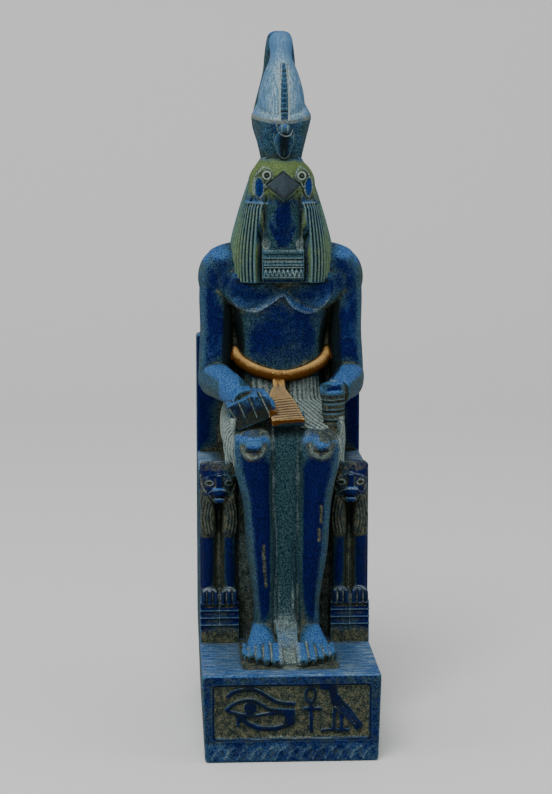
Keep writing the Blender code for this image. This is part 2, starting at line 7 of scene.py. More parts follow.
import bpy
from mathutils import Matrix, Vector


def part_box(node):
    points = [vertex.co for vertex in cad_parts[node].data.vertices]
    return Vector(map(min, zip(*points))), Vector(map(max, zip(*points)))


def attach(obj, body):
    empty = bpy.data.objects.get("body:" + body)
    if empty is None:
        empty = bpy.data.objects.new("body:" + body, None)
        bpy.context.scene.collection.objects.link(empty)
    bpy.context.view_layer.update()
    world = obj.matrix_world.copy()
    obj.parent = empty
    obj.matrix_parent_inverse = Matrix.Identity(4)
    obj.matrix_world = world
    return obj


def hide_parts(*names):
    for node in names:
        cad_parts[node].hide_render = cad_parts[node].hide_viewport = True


bl_info = {
    "name": "Falcon-headed figure on a lion throne",
    "version": (1, 0, 0),
    "blender": (4, 5, 0),
    "location": "3D View > Sidebar > Statue",
    "description": "Carves the seated figure, its crown, throne and plinth, and lays their patina",
    "category": "Add Mesh",
}

from math import cos, pi, radians, sin

import bmesh
import bpy
import numpy as np
from bpy.props import FloatProperty, FloatVectorProperty, IntProperty, PointerProperty
from mathutils import Matrix, Vector
from mathutils.bvhtree import BVHTree

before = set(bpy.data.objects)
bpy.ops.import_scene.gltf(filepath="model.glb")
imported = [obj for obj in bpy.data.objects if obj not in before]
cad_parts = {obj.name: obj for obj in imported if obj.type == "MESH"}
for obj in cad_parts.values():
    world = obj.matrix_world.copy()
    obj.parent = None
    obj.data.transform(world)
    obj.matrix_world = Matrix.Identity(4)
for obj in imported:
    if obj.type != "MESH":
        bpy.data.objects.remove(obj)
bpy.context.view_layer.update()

MM = 0.001
NODE = "horus_statue"
BOTH = (-1, 1)
LOW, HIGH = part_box(NODE)
BACK_THICKNESS = 10.0
PLINTH_TOP = 37.0
BACK_FACE = HIGH.y / MM - BACK_THICKNESS
FRONT = LOW.y / MM
HALF_WIDTH = 37.0
SEAT_TOP = 75.5
SEAT_FRONT = -44.0
BACK_TOP = 129.0

PICTURE_HEIGHT = 794
FOCAL_PIXELS = 2095.69
CAMERA_AIM = (-0.00356, 0, 0.14381)
LIGHT_AIM = (0, 0, 0.15)

TALL_CROWN = [
    (0, -22.6, 222, 10.2, 11.4), (0, -22.6, 230, 10.3, 11.2), (0, -22.6, 234.5, 10, 10.9),
    (0, -22.4, 238.6, 9.2, 10.1), (0, -22, 242.7, 8, 9), (0, -21.4, 246.8, 6.5, 7.6),
    (0, -20.6, 250.8, 4.9, 5.8), (0, -20, 254, 4.7, 5.4), (0, -19.6, 257.6, 5.2, 5.6),
    (0, -19.4, 260.6, 4.4, 4.8), (0, -19.3, 262.4, 2.2, 2.4),
]


class StatueSizes(bpy.types.PropertyGroup):
    body_grain: FloatProperty(
        name="Body grain", description="Fineness of the carved body and throne", default=0.0004,
        min=0.0002, unit="LENGTH")
    head_grain: FloatProperty(
        name="Head grain", description="Fineness of the head, crown and plinth relief", default=0.00032,
        min=0.0002, unit="LENGTH")
    lock_depth: FloatProperty(
        name="Lock depth", description="Depth of the grooves between the wig's locks", default=0.00045,
        unit="LENGTH")
    pleat_depth: FloatProperty(
        name="Pleat depth", description="Depth of the kilt's pleats", default=0.00022, unit="LENGTH")
    faces: IntProperty(
        name="Faces a piece", description="Most triangles that a carved piece keeps", default=190000,
        min=1000)


class PatinaColours(bpy.types.PropertyGroup):
    deep: FloatVectorProperty(
        name="Navy", description="Dark blue in the middle of the broad forms", subtype="COLOR",
        default=(0.0006, 0.0016, 0.02))
    deep_light: FloatVectorProperty(
        name="Navy speckle", description="Specks over the navy", subtype="COLOR",
        default=(0.0025, 0.0075, 0.07))
    flank: FloatVectorProperty(
        name="Flank blue", description="Blue where a form turns away", subtype="COLOR",
        default=(0.002, 0.018, 0.07))
    flank_light: FloatVectorProperty(
        name="Flank speckle", description="Specks where a form turns away", subtype="COLOR",
        default=(0.045, 0.115, 0.165))
    # Bright blue and its speckle are painted top light where patina lays them on what faces up; they also
    # colour the eye drops and parts of the tall crown.
    top: FloatVectorProperty(
        name="Bright blue", description="Blue on what faces up", subtype="COLOR",
        default=(0.006, 0.04, 0.165))
    top_light: FloatVectorProperty(
        name="Bright speckle", description="Specks on what faces up", subtype="COLOR",
        default=(0.057, 0.145, 0.285))
    teal: FloatVectorProperty(
        name="Teal", description="Greenish wash beside the hollows", subtype="COLOR",
        default=(0.0012, 0.013, 0.024))
    teal_light: FloatVectorProperty(
        name="Teal speckle", description="Specks in the greenish wash", subtype="COLOR",
        default=(0.03, 0.068, 0.075))
    olive: FloatVectorProperty(
        name="Olive", description="Wash that settled in the hollows", subtype="COLOR",
        default=(0.007, 0.014, 0.01))
    olive_light: FloatVectorProperty(
        name="Olive speckle", description="Specks in the olive wash", subtype="COLOR",
        default=(0.068, 0.082, 0.052))
    pale: FloatVectorProperty(
        name="Chalk", description="Chalky paint on lines and ridges", subtype="COLOR",
        default=(0.06, 0.095, 0.1))
    pale_light: FloatVectorProperty(
        name="Light chalk", description="Lightest chalky paint", subtype="COLOR", default=(0.27, 0.33, 0.3))
    # Night is used for painted shade in grooves and under overhangs, as well as for dark paint.
    night: FloatVectorProperty(
        name="Night", description="Near black of the deepest hollows", subtype="COLOR",
        default=(0.003, 0.006, 0.006))
    leaf: FloatVectorProperty(
        name="Leaf green", description="Yellow green on the brow and the wig's locks", subtype="COLOR",
        default=(0.035, 0.055, 0.026))
    leaf_light: FloatVectorProperty(
        name="Light leaf green", description="Light yellow green", subtype="COLOR",
        default=(0.135, 0.2, 0.068))
    ice: FloatVectorProperty(
        name="Ice blue", description="Grey blue of the tall crown", subtype="COLOR",
        default=(0.11, 0.19, 0.265))
    ice_light: FloatVectorProperty(
        name="Light ice blue", description="Light specks on the tall crown", subtype="COLOR",
        default=(0.28, 0.41, 0.48))
    tan: FloatVectorProperty(
        name="Tan", description="Bare sandy patches", subtype="COLOR", default=(0.26, 0.2, 0.1))
    gilt: FloatVectorProperty(
        name="Gilt", description="Brown gold of the belt", subtype="COLOR", default=(0.06, 0.022, 0.002))
    # Light gilt is the rubbed gold on ridges, and also a painted highlight where the gold faces up.
    gilt_light: FloatVectorProperty(
        name="Light gilt", description="Rubbed gold of the belt and apron", subtype="COLOR",
        default=(0.46, 0.29, 0.105))
    slate: FloatVectorProperty(
        name="Slate", description="Grey of the beak", subtype="COLOR", default=(0.032, 0.042, 0.05))


class StageSettings(bpy.types.PropertyGroup):
    floor_tone: FloatVectorProperty(
        name="Floor", description="Colour of the floor and backdrop", subtype="COLOR",
        default=(0.7, 0.7, 0.7))
    key_power: FloatProperty(
        name="Key light", description="Power of the soft light overhead", default=70.0, unit="POWER")
    side_power: FloatProperty(
        name="Side lights", description="Power of each light at the sides", default=4.0, unit="POWER")
    world_strength: FloatProperty(
        name="Room light", description="Strength of the light from all round", default=0.45)
    camera_distance: FloatProperty(
        name="Camera distance", description="From the camera to the point it looks at", default=0.9,
        unit="LENGTH")
    camera_height: FloatProperty(
        name="Camera elevation", description="Angle of the camera above the horizon", default=radians(8.0),
        unit="ROTATION")
    camera_turn: FloatProperty(
        name="Camera azimuth", description="Angle of the camera round the figure", default=radians(-3.0197),
        unit="ROTATION")


def place(x, y, z):
    """A point of the figure in the frame, from millimetres."""
    return Vector((x, BACK_FACE + y, PLINTH_TOP + z)) * MM


def between(a, b, c, d, t):
    """A smooth curve through b and c, for t from 0 to 1."""
    bend = 2 * a - 5 * b + 4 * c - d
    return 0.5 * (2 * b + (c - a) * t + bend * t**2 + (3 * b - a - 3 * c + d) * t**3)


def sampled(stations, steps):
    """More stations along a smooth curve through the given ones."""
    ends = [stations[0], *stations, stations[-1]]
    found = []
    for i in range(len(stations) - 1):
        four = ends[i:i + 4]
        found += [tuple(between(*values, k / steps) for values in zip(*four)) for k in range(steps)]
    return [*found, stations[-1]]


def superellipse(angle, power):
    c, s = cos(angle), sin(angle)
    return (
        abs(c) ** (2 / power) * (1 if c > 0 else -1),
        abs(s) ** (2 / power) * (1 if s > 0 else -1),
    )


def loft(bm, stations, up=(0, 1, 0), power=2.2, sides=32, steps=5, carve=None):
    """A closed body through rings (x, y, z, half width, half depth), square to its run.

    carve(angle, share of the run) gives how far the skin stands out there.
    """
    rows = sampled(stations, steps)
    middles = [Vector(row[:3]) for row in rows]
    loops = []
    for i, (middle, row) in enumerate(zip(middles, rows)):
        run = (middles[min(i + 1, len(rows) - 1)] - middles[max(i - 1, 0)]).normalized()
        across = Vector(up).cross(run).normalized()
        deep = run.cross(across)
        loop = []
        for k in range(sides):
            angle = 2 * pi * k / sides
            cx, cy = superellipse(angle, power)
            more = carve(angle, i / (len(rows) - 1)) if carve else 0.0
            point = middle + across * cx * (row[3] + more) + deep * cy * (row[4] + more)
            loop.append(bm.verts.new(place(*point)))
        loops.append([bm.edges.new((loop[k - 1], loop[k])) for k in range(sides)])
    for lower, upper in zip(loops, loops[1:]):
        bmesh.ops.bridge_loops(bm, edges=lower + upper)
    for loop in (loops[0], loops[-1]):
        bmesh.ops.edgeloop_fill(bm, edges=loop)


def blob(bm, centre, radii, tilt=0.0, axis="X"):
    """An ellipsoid, tilted about one axis in degrees."""
    shape = Matrix.Translation(place(*centre)) @ Matrix.Rotation(radians(tilt), 4, axis)
    size = Matrix.Diagonal((*[r * MM for r in radii], 1.0))
    bmesh.ops.create_uvsphere(bm, u_segments=32, v_segments=20, radius=1.0, matrix=shape @ size)


def slab(bm, low, high):
    middle = (place(*low) + place(*high)) / 2
    size = place(*high) - place(*low)
    bmesh.ops.create_cube(bm, size=1.0, matrix=Matrix.Translation(middle) @ Matrix.Diagonal((*size, 1.0)))


def hull(bm, points):
    made = [bm.verts.new(place(*point)) for point in points]
    bmesh.ops.convex_hull(bm, input=made, use_existing_faces=False)


def block(bm, low, high, rounding, taper=0.0):
    """A block with rounded edges, narrower by taper each side at its foot."""
    fresh = bmesh.new()
    low, high = place(*low), place(*high)
    shape = Matrix.Translation((low + high) / 2) @ Matrix.Diagonal((*(high - low), 1.0))
    bmesh.ops.create_cube(fresh, size=1.0, matrix=shape)
    for corner in fresh.verts:
        if corner.co.z < (low.z + high.z) / 2:
            corner.co.x -= taper * MM if corner.co.x > 0 else -taper * MM
    bmesh.ops.bevel(
        fresh, geom=fresh.edges[:], offset=rounding * MM, segments=3, profile=0.5, affect="EDGES",
        material=-1)
    mesh = bpy.data.meshes.new("block")
    fresh.to_mesh(mesh)
    fresh.free()
    bm.from_mesh(mesh)
    bpy.data.meshes.remove(mesh)


def as_object(name, bm):
    bmesh.ops.recalc_face_normals(bm, faces=bm.faces[:])
    mesh = bpy.data.meshes.new(name)
    bm.to_mesh(mesh)
    bm.free()
    made = bpy.data.objects.new(name, mesh)
    bpy.context.scene.collection.objects.link(made)
    return made


def settle(piece):
    """Puts what the modifiers make into the piece's own mesh."""
    graph = bpy.context.evaluated_depsgraph_get()
    mesh = bpy.data.meshes.new_from_object(piece.evaluated_get(graph))
    piece.modifiers.clear()
    old = piece.data
    piece.data = mesh
    mesh.name = old.name
    bpy.data.meshes.remove(old)
    return piece


def fused(name, bm, grain, softening=2):
    """One fine skin round forms that overlap."""
    forms = as_object(name, bm)
    fuse = forms.modifiers.new("fuse", "REMESH")
    fuse.mode = "VOXEL"
    fuse.voxel_size = grain * 1.0
    soften = forms.modifiers.new("soften", "SMOOTH")
    soften.factor = 0.5
    soften.iterations = softening
    return settle(forms)


def step(value, low, high):
    """Rises smoothly from 0 at low to 1 at high."""
    t = np.clip((value - low) / (high - low), 0.0, 1.0)
    return t * t * (3 - 2 * t)


def gap_to_line(across, up, line):
    """How far points of a flat view lie from a line through the given corners."""
    nearest = np.full(len(across), 1e9)
    for (ax, ay), (bx, by) in zip(line, line[1:]):
        dx, dy = bx - ax, by - ay
        t = np.clip(((across - ax) * dx + (up - ay) * dy) / (dx * dx + dy * dy + 1e-12), 0, 1)
        nearest = np.minimum(nearest, np.hypot(across - ax - t * dx, up - ay - t * dy))
    return nearest


# What the paint reads at each point: which way the skin faces, and how much of each paint lies there.
# Chalk is pale, the near black channel is dark paint and also painted shade and shadow, earth olive, sea
# teal, leaf yellow green. Navy keeps a form dark and bright keeps it light.
FACINGS = ("facing_across", "facing_back", "facing_up")
CHANNELS = ("chalk", "ink", "earth", "sea", "gold", "leaf", "navy", "bright")


class Skin:
    """A piece's points in millimetres, which carving moves along their normals."""

    def __init__(self, piece):
        self.mesh = piece.data
        count = len(self.mesh.vertices)
        flat = np.empty(count * 3)
        self.mesh.vertices.foreach_get("co", flat)
        self.points = flat.reshape(-1, 3) / MM - np.array((0, BACK_FACE, PLINTH_TOP))
        self.normals = self.read_normals()
        pairs = np.empty(len(self.mesh.edges) * 2, np.int32)
        self.mesh.edges.foreach_get("vertices", pairs)
        self.pairs = pairs.reshape(-1, 2)
        self.out = np.zeros(count)
        self.paint = {channel: np.zeros(count) for channel in CHANNELS}

    def read_normals(self):
        flat = np.empty(len(self.mesh.vertices) * 3)
        self.mesh.vertices.foreach_get("normal", flat)
        return flat.reshape(-1, 3)

    def view(self, side):
        """Across, up, depth and how squarely the skin faces, seen from the front or the top."""
        x, y, z = self.points.T
        _nx, ny, nz = self.normals.T
        return {"front": (x, z, y, -ny), "top": (x, y, z, nz)}[side]

    def trace(self, line, width, height, side="front", depth=(-1e3, 1e3), least=0.15, tint=None):
        """Raises or sinks the skin along a line drawn on its front or top, and paints it.

        The skin counts where it lies within depth and faces the view by more than least.
        """
        across, up, deep, facing = self.view(side)
        corners = np.array(line, float)
        reach = width * 2.6
        low, high = corners.min(0) - reach, corners.max(0) + reach
        near = (across > low[0]) & (across < high[0]) & (up > low[1]) & (up < high[1])
        near &= (deep > depth[0]) & (deep < depth[1]) & (facing > least)
        spots = np.flatnonzero(near)
        gap = gap_to_line(across[spots], up[spots], line)
        shown = np.exp(-((gap / width) ** 2)) * step(facing[spots], least, least + 0.3)
        self.out[spots] += height * shown
        if tint:
            self.daub(tint[0], shown * tint[1], spots)

    def daub(self, channel, amount, spots=slice(None)):
        """Lays paint of one channel, from 0 to 1, over what it has there already."""
        held = self.paint[channel]
        held[spots] = np.maximum(held[spots], np.clip(amount, 0, 1))

    def press(self):
        """Applies the carving so far."""
        self.points += self.normals * self.out[:, None]
        self.out[:] = 0
        flat = ((self.points + np.array((0, BACK_FACE, PLINTH_TOP))) * MM).ravel()
        self.mesh.vertices.foreach_set("co", flat)
        self.mesh.update()
        self.normals = self.read_normals()

    def softened(self, values, rounds):
        """Values averaged over neighbouring points, again and again."""
        a, b = self.pairs.T
        count = len(self.points)
        share = 0.5 / np.maximum(np.bincount(a, minlength=count) + np.bincount(b, minlength=count), 1)
        for _ in range(rounds):
            around = []
            for column in values.T:
                ahead = np.bincount(a, weights=column[b], minlength=count)
                around.append(ahead + np.bincount(b, weights=column[a], minlength=count))
            values = 0.5 * values + np.stack(around, 1) * share[:, None]
        return values

    def bend(self, spread):
        """How the skin curves over about spread square millimetres, in 1/mm, and above 0 in hollows."""
        a, b = self.pairs.T
        edge = np.linalg.norm(self.points[a] - self.points[b], axis=1).mean()
        rounds = max(3, round(spread / (0.25 * edge**2)))
        moved = np.einsum("ij,ij->i", self.softened(self.points, rounds) - self.points, self.normals)
        return 2 * moved / (rounds * 0.25 * edge**2)

    def keep(self, name, values):
        """Stores a value at each point for the paint."""
        layer = self.mesh.attributes.new(name, "FLOAT", "POINT")
        layer.data.foreach_set("value", values.astype(np.float32))


class Crowding:
    """How much solid stands round a place, from the CAD solid filled in on a coarse grid."""

    PITCH = 1.5

    def __init__(self):
        solid = BVHTree.FromObject(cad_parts[NODE], bpy.context.evaluated_depsgraph_get())
        margin = 18.0
        self.low = np.array(LOW) / MM - margin
        counts = np.ceil((np.array(HIGH) / MM + margin - self.low) / self.PITCH).astype(int)
        filled = np.zeros(tuple(counts))
        heights = self.low[2] + self.PITCH * (np.arange(counts[2]) + 0.5)
        for i in range(counts[0]):
            x = self.low[0] + self.PITCH * (i + 0.5)
            if abs(x) > HALF_WIDTH + 1:
                continue
            for j in range(counts[1]):
                y = self.low[1] + self.PITCH * (j + 0.5)
                for foot, head in self.spans(solid, x, y):
                    filled[i, j, (heights > foot) & (heights < head)] = 1.0
        self.share = self.blurred(filled, 4.5)

    def spans(self, solid, x, y):
        """Where a vertical line is inside the solid."""
        hits = []
        start = self.low[2] - 5
        while len(hits) < 24:
            place_hit = solid.ray_cast(Vector((x, y, start)) * MM, Vector((0, 0, 1)))[0]
            if place_hit is None:
                break
            hits.append(place_hit.z / MM)
            start = hits[-1] + 0.02
        return list(zip(hits[::2], hits[1::2]))

    def blurred(self, filled, radius):
        spectrum = np.fft.rfftn(filled)
        for axis, count in enumerate(filled.shape):
            turns = np.fft.rfftfreq(count, self.PITCH) if axis == 2 else np.fft.fftfreq(count, self.PITCH)
            shape = [1, 1, 1]
            shape[axis] = -1
            spectrum *= np.exp(-2 * (pi * turns * radius) ** 2).reshape(shape)
        return np.fft.irfftn(spectrum, filled.shape)

    def at(self, points):
        """The share of solid round points given from the throne's back and the plinth's top."""
        spots = (points + np.array((0, BACK_FACE, PLINTH_TOP)) - self.low) / self.PITCH - 0.5
        base = np.clip(np.floor(spots).astype(int), 0, np.array(self.share.shape) - 2)
        part = np.clip(spots - base, 0, 1)
        total = np.zeros(len(points))
        for corner in np.ndindex(2, 2, 2):
            weight = np.prod(np.where(corner, part, 1 - part), axis=1)
            total += weight * self.share[tuple((base + corner).T)]
        return total


class Kept:
    """Work that several pieces share, made once."""

    crowding = None


def finished(piece, skin):
    """Stores what the paint reads, thins the skin, shades it smooth and fixes it to the frame."""
    if Kept.crowding is None:
        Kept.crowding = Crowding()
    skin.keep("groove", 0.5 + 0.5 * skin.bend(0.2))
    skin.keep("hollow", 0.5 + 0.74 * skin.bend(1.5))
    skin.keep("crowding", Kept.crowding.at(skin.points + 2.0 * skin.normals))
    for name, share in zip(FACINGS, skin.normals.T):
        skin.keep(name, share)
    for channel in CHANNELS:
        skin.keep(channel, skin.paint[channel])
    triangles = sum(len(face.vertices) - 2 for face in piece.data.polygons)
    most = bpy.context.scene.statue_sizes.faces
    if triangles > most:
        thin = piece.modifiers.new("thin", "DECIMATE")
        thin.ratio = most / triangles
        settle(piece)
    piece.data.polygons.foreach_set("use_smooth", [True] * len(piece.data.polygons))
    piece.data.update()
    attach(piece, "root")
    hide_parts(NODE)
    return piece


def pleats(count, depth, first=0.1, last=0.86):
    """Carving for a loft: shallow folds that run round it."""

    def carve(_angle, share):
        if not first <= share <= last:
            return 0.0
        return depth * cos(2 * pi * count * (share - first) / (last - first))

    return carve


def model_torso(bm):
    loft(bm, [
        (0, -18, 74, 24, 19), (0, -18, 95, 22.5, 18.5), (0, -18, 110, 19.5, 17), (0, -18, 120, 18.4, 16.2),
        (0, -17.8, 128, 19, 15.6), (0, -17.5, 136, 20.8, 15.4), (0, -17.4, 144, 23, 15.6),
        (0, -17.2, 153, 26, 15), (0, -17, 162, 25, 13), (0, -17, 170, 20, 10), (0, -17, 175, 12, 7),
    ], power=2.4, sides=64)
    loft(bm, [
        (-34, -18.6, 156, 2.2, 2.2), (-32.6, -18.6, 156.2, 6.4, 6.4), (-29, -18.6, 157, 10.2, 9.8),
        (-23, -18.4, 159, 11.8, 12), (-12, -18, 162, 11, 13.2), (0, -18, 163, 10.5, 13.2),
        (12, -18, 162, 11, 13.2), (23, -18.4, 159, 11.8, 12), (29, -18.6, 157, 10.2, 9.8),
        (32.6, -18.6, 156.2, 6.4, 6.4), (34, -18.6, 156, 2.2, 2.2),
    ], sides=36)
    for side in BOTH:
        blob(bm, (side * 12.2, -26.0, 152.6), (14.4, 9, 11), 8)
        blob(bm, (side * 21.2, -22.8, 155), (9, 8.8, 9.6))
        slab(bm, (side * 21 - 9, -20, 104), (side * 21 + 9, -11, 160))
    blob(bm, (0, -23, 128), (17, 10.8, 20))
    slab(bm, (-19, -12, 74), (19, 2, 127))


def model_belt(bm):
    """A rounded band that dips at the front of the waist."""
    count = 72
    rows = []
    for k in range(count + 1):
        angle = 2 * pi * k / count
        y = -18.2 - 18.6 * cos(angle)
        rise = 9.5 * min(1.0, (1 - cos(angle)) ** 0.8)
        rows.append((20.6 * sin(angle), y, 114.3 + rise, 2.2, 2.5))
    loft(bm, [*rows, rows[1]], up=(0, 0, 1), sides=16, steps=1)


def model_arms(bm):
    for side in BOTH:
        loft(bm, [
            (side * 27.4, -18.4, 164, 5, 6), (side * 27.7, -18.4, 158, 7.4, 8.6),
            (side * 28.2, -18.6, 148, 7.7, 9.4),
            (side * 28.5, -19.6, 133, 7.1, 8.8), (side * 29, -21.6, 120, 7.2, 8.4),
            (side * 29.4, -23.6, 110, 7, 7.2),
        ])
        blob(bm, (side * 27.4, -18.6, 156.2), (9.0, 10.4, 12.2))
        blob(bm, (side * 29.2, -23.4, 112.4), (7.5, 8.8, 8.8))
    loft(bm, [
        (-30, -21, 112.4, 6.9, 7.6), (-26.8, -33, 111.4, 6.8, 7.4), (-22, -45, 109.4, 6.2, 6.2),
        (-17, -54, 106.2, 6, 4.8),
    ], up=(0, 0, 1))
    loft(bm, [
        (30, -21, 112.4, 6.9, 7.6), (28.6, -33, 111.4, 6.7, 7.2), (25.4, -44, 110.6, 6, 6.2),
        (22.6, -52, 109.2, 5.6, 5.6),
    ], up=(0, 0, 1))


def model_flat_fist(bm):
    """The fist that lies knuckles up on the thigh: four fingers side by side, bent down over its front."""
    for k in range(4):
        x, z = -22.4 + 4.2 * k, 103.2 + 1.6 * k
        lean = 1.6 + 0.9 * k
        loft(bm, [
            (x - 1, -49, z + 0.6, 2.3, 2.4), (x, -56.8, z + 0.4, 2.3, 2.4),
            (x + 0.3 * lean, -60.0, z - 1.4, 2.2, 2.6),
            (x + 0.7 * lean, -61.6, z - 5.0, 2.2, 2.7), (x + lean, -60.4, z - 8, 1.9, 2.4),
        ], up=(1, 0.2, 0), sides=20, power=2.6)
    blob(bm, (-15.6, -52.5, 103.6), (9.6, 8.6, 5.8), -18, "Y")
    hull(bm, [
        (-25.2, -60.6, 104.2), (-12.6, -61.4, 110.0), (-6.8, -64.8, 100.4), (-19.8, -64.8, 95.0),
        (-24, -49, 105.6), (-13, -47, 111.4), (-6, -46, 102), (-19.6, -50, 94),
    ])
    blob(bm, (-10, -57, 102.6), (4.5, 4, 3.6))
    slab(bm, (-20, -58, 93), (8, -40, 100.6))
    slab(bm, (-19, -61.4, 93), (-6, -50, 99.6))
    slab(bm, (-14, -51, 98), (-4, -42, 103))
    thumb = [(-9, -50, 106.4, 2.4, 2.4), (-6.6, -56.4, 105, 2.1, 2.2), (-5.4, -60.6, 101.6, 1.8, 1.9)]
    loft(bm, thumb, up=(1, 0, 0), sides=16)


def model_upright_fist(bm):
    """The fist that stands on the thigh and grips a short roll: four fingers on each other."""
    for k in range(4):
        share = (0.8, 0.95, 1.0, 1.0)[k]
        blob(bm, (20.4, -57.0, 97.2 + 4.2 * k), (5.2 * share, 6.4 * share, 2.5), -4, "Y")
    loft(bm, [
        (21.2, -55.6, 92, 3, 4.2), (20.8, -56.4, 97, 4.2, 5.6), (20.4, -56.6, 103, 4.8, 6.1),
        (20.4, -56.4, 109, 5, 6.1), (20.4, -56.2, 112.8, 4.8, 5.6), (20.4, -56, 114.2, 3.6, 4.2),
    ])
    loft(bm, [(20.8, -55.4, 106, 2.4, 2.4), (20.8, -55.4, 114.9, 2.4, 2.4)])
    hull(bm, [(x, y, z) for x, y in ((16.8, -56), (24.4, -56), (17, -40), (24.4, -40)) for z in (93, 103)])
    blob(bm, (16.6, -56, 110.8), (2.2, 5, 2.3), 20)


SHINS = {
    -1: [(14.3, -62, 89, 8.9, 9.8), (13.9, -61.4, 80, 8.5, 10.6), (12.9, -60.4, 72, 7.4, 11),
         (11.7, -59.2, 62, 6.5, 11.3), (10.3, -57.6, 43, 6.6, 11), (9.1, -57, 21, 4.9, 8.8),
         (8.9, -57.8, 11, 4.7, 8), (9, -58, 3, 5, 8.4)],
    1: [(14.3, -62, 89, 8.9, 9.8), (13.9, -61.4, 80, 8.5, 10.6), (13.0, -60.4, 72, 7.8, 11),
        (12.1, -59.2, 62, 7.2, 11.3), (10.7, -57.6, 43, 7.4, 11), (9.9, -57, 21, 4.9, 8.8),
        (9.9, -57.8, 11, 4.7, 8), (10, -58, 3, 5, 8.4)],
}


def model_legs(bm):
    loft(bm, [
        (0, 2, 90, 25, 15), (0, -12, 91, 26.4, 15.4), (0, -26, 91.6, 27, 13.8),
        (0, -38, 91.2, 26.8, 11.6), (0, -50, 89.6, 26, 9), (0, -60, 87, 23, 7.4),
    ], up=(0, 0, 1), power=3, sides=48)
    for side in BOTH:
        loft(bm, [
            (side * 12.9, -10, 89, 13, 12), (side * 13, -34, 88.6, 13, 12.6),
            (side * 13.4, -50, 87, 12.8, 11.4), (side * 13.9, -60, 87, 9.4, 8.8),
            (side * 14.2, -67, 86, 7.4, 7),
        ], up=(0, 0, 1), power=2.4, sides=40, steps=24, carve=pleats(15, 0.22))
        blob(bm, (side * 14.2, -62.4, 86), (9.1, 10.4, 9.4))
        shin = SHINS[side]
        loft(bm, [(side * x, y, z, wide, deep) for x, y, z, wide, deep in shin], power=1.9)
        model_kneecap(bm, side * 14.2)
        slab(bm, (side * 22.5 - 3, -53, 73), (side * 22.5 + 3, -43, 84))
        loft(bm, [
            (side * 9.9, -50, 5, 5, 6), (side * 9.9, -60, 5, 5.4, 7.4), (side * 10.4, -70, 3.2, 6.6, 6.2),
            (side * 11, -79, 1.6, 7.9, 4.8), (side * 11, -85, 1, 8, 3.8),
        ], up=(0, 0, 1))
        hull(bm, [(side * x, y, z) for x, y, z in (
            (2.8, -78, 4.4), (17, -78, 3.4), (2.9, -92.6, 2.2), (8, -92.2, 2.2), (13, -88.6, 2.2),
            (17.4, -82.6, 2.0),
            (2.8, -78, -2), (17, -78, -2), (3, -93.6, -2), (8, -93.2, -2), (13, -89.6, -2), (17.6, -83, -2))])
        model_toes(bm, side)
    model_between_legs(bm)


def model_kneecap(bm, x):
    """A small square kneecap in a raised horseshoe of skin."""
    blob(bm, (x, -69.0, 87.2), (6, 4, 6.4))
    blob(bm, (x, -71.6, 89.6), (4.4, 2.4, 2.5))
    hull(bm, [(x + part * wide, y, z) for part in BOTH for wide, y, z in (
        (4.0, -68, 92.2), (3.6, -73.6, 91.6), (3.4, -74.2, 89.6), (3.8, -72.6, 87.4), (4.0, -68, 87.2))])


def model_between_legs(bm):
    """The block is left standing between the shins, and runs out as a ramp between the feet."""
    loft(bm, [
        (0, -48, 96, 9, 10), (0, -49, 90, 9.6, 14.6), (0, -50, 82, 9.4, 15.6), (0, -50, 72, 8.8, 15.2),
        (0, -50, 58, 8.2, 14.6), (0, -50, 44, 7.6, 13.6), (0, -50, 30, 7, 12.6), (0, -50, 18, 6.2, 13),
        (0, -50, 10, 5.4, 15.6), (0, -50, 4, 4.9, 21), (0, -50, -2, 4.6, 28),
    ], power=3)
    hull(bm, [(part * x, y, z) for part in BOTH for x, y, z in (
        (4.8, -60, 13), (4.4, -70, 6.2), (3.8, -80, 2.6), (3.6, -90.4, 0.7), (4.6, -56, -2),
        (3.6, -90.4, -2))])
    slab(bm, (-14, -58, 76), (14, -18, 92))
    slab(bm, (-17, -78, -2), (17, -44, 2.6))


def model_toes(bm, side):
    """A great toe and four that step back from it, each with its nail."""
    edge, tip = 2.6, -95.0
    for k, width in enumerate((5.2, 3.5, 3.2, 2.9, 2.5)):
        half = width / 2
        x = side * (edge + half)
        loft(bm, [
            (x - side * 0.3, -80, 4.6 - 0.3 * k, half * 0.94, 2.6), (x, tip + 7.5, 3.2, half * 0.98, 2.6),
            (x, tip + 3.4, 2.4, half, 2.5), (x, tip + 1, 2, half * 0.94, 2.1),
            (x, tip, 1.8, half * 0.66, 1.4),
        ], up=(0, 0, 1), sides=20, power=2.6)
        edge += width
        tip += (1.6, 3, 3.6, 4, 0)[k]


def model_apron(bm):
    """The pleated tongue that hangs from the belt and juts out over the knees."""
    loft(bm, [
        (-1.9, -36, 114, 2.6, 1.6), (-2.0, -40.5, 109.4, 2.7, 1.7), (-2.0, -44, 106.8, 4.2, 1.7),
        (-1.3, -50, 103.8, 6.0, 1.8), (-0.3, -58, 100.4, 6.8, 1.9), (0.9, -65.2, 98, 7.1, 1.9),
    ], up=(0, 0, 1), power=6, sides=28, steps=10)
    hull(bm, [(part * 6, y, z) for part in BOTH for y, z in ((-40, 104), (-62, 97), (-62, 90), (-40, 90))])
    under_neck = ((-32, 112), (-40, 108.4), (-44, 105.6), (-52, 101.6), (-52, 96), (-32, 96))
    hull(bm, [(part * 2.3 - 1.8, y, z) for part in BOTH for y, z in under_neck])


def wig_set_back(angle, share):
    """The wig's front is set back between the lappets."""
    front = abs(angle - 1.5 * pi)
    if front < 0.46 and share > 0.3:
        return -4.0
    if front < 0.95 and share < 0.44:
        return -1.0
    return 0.0


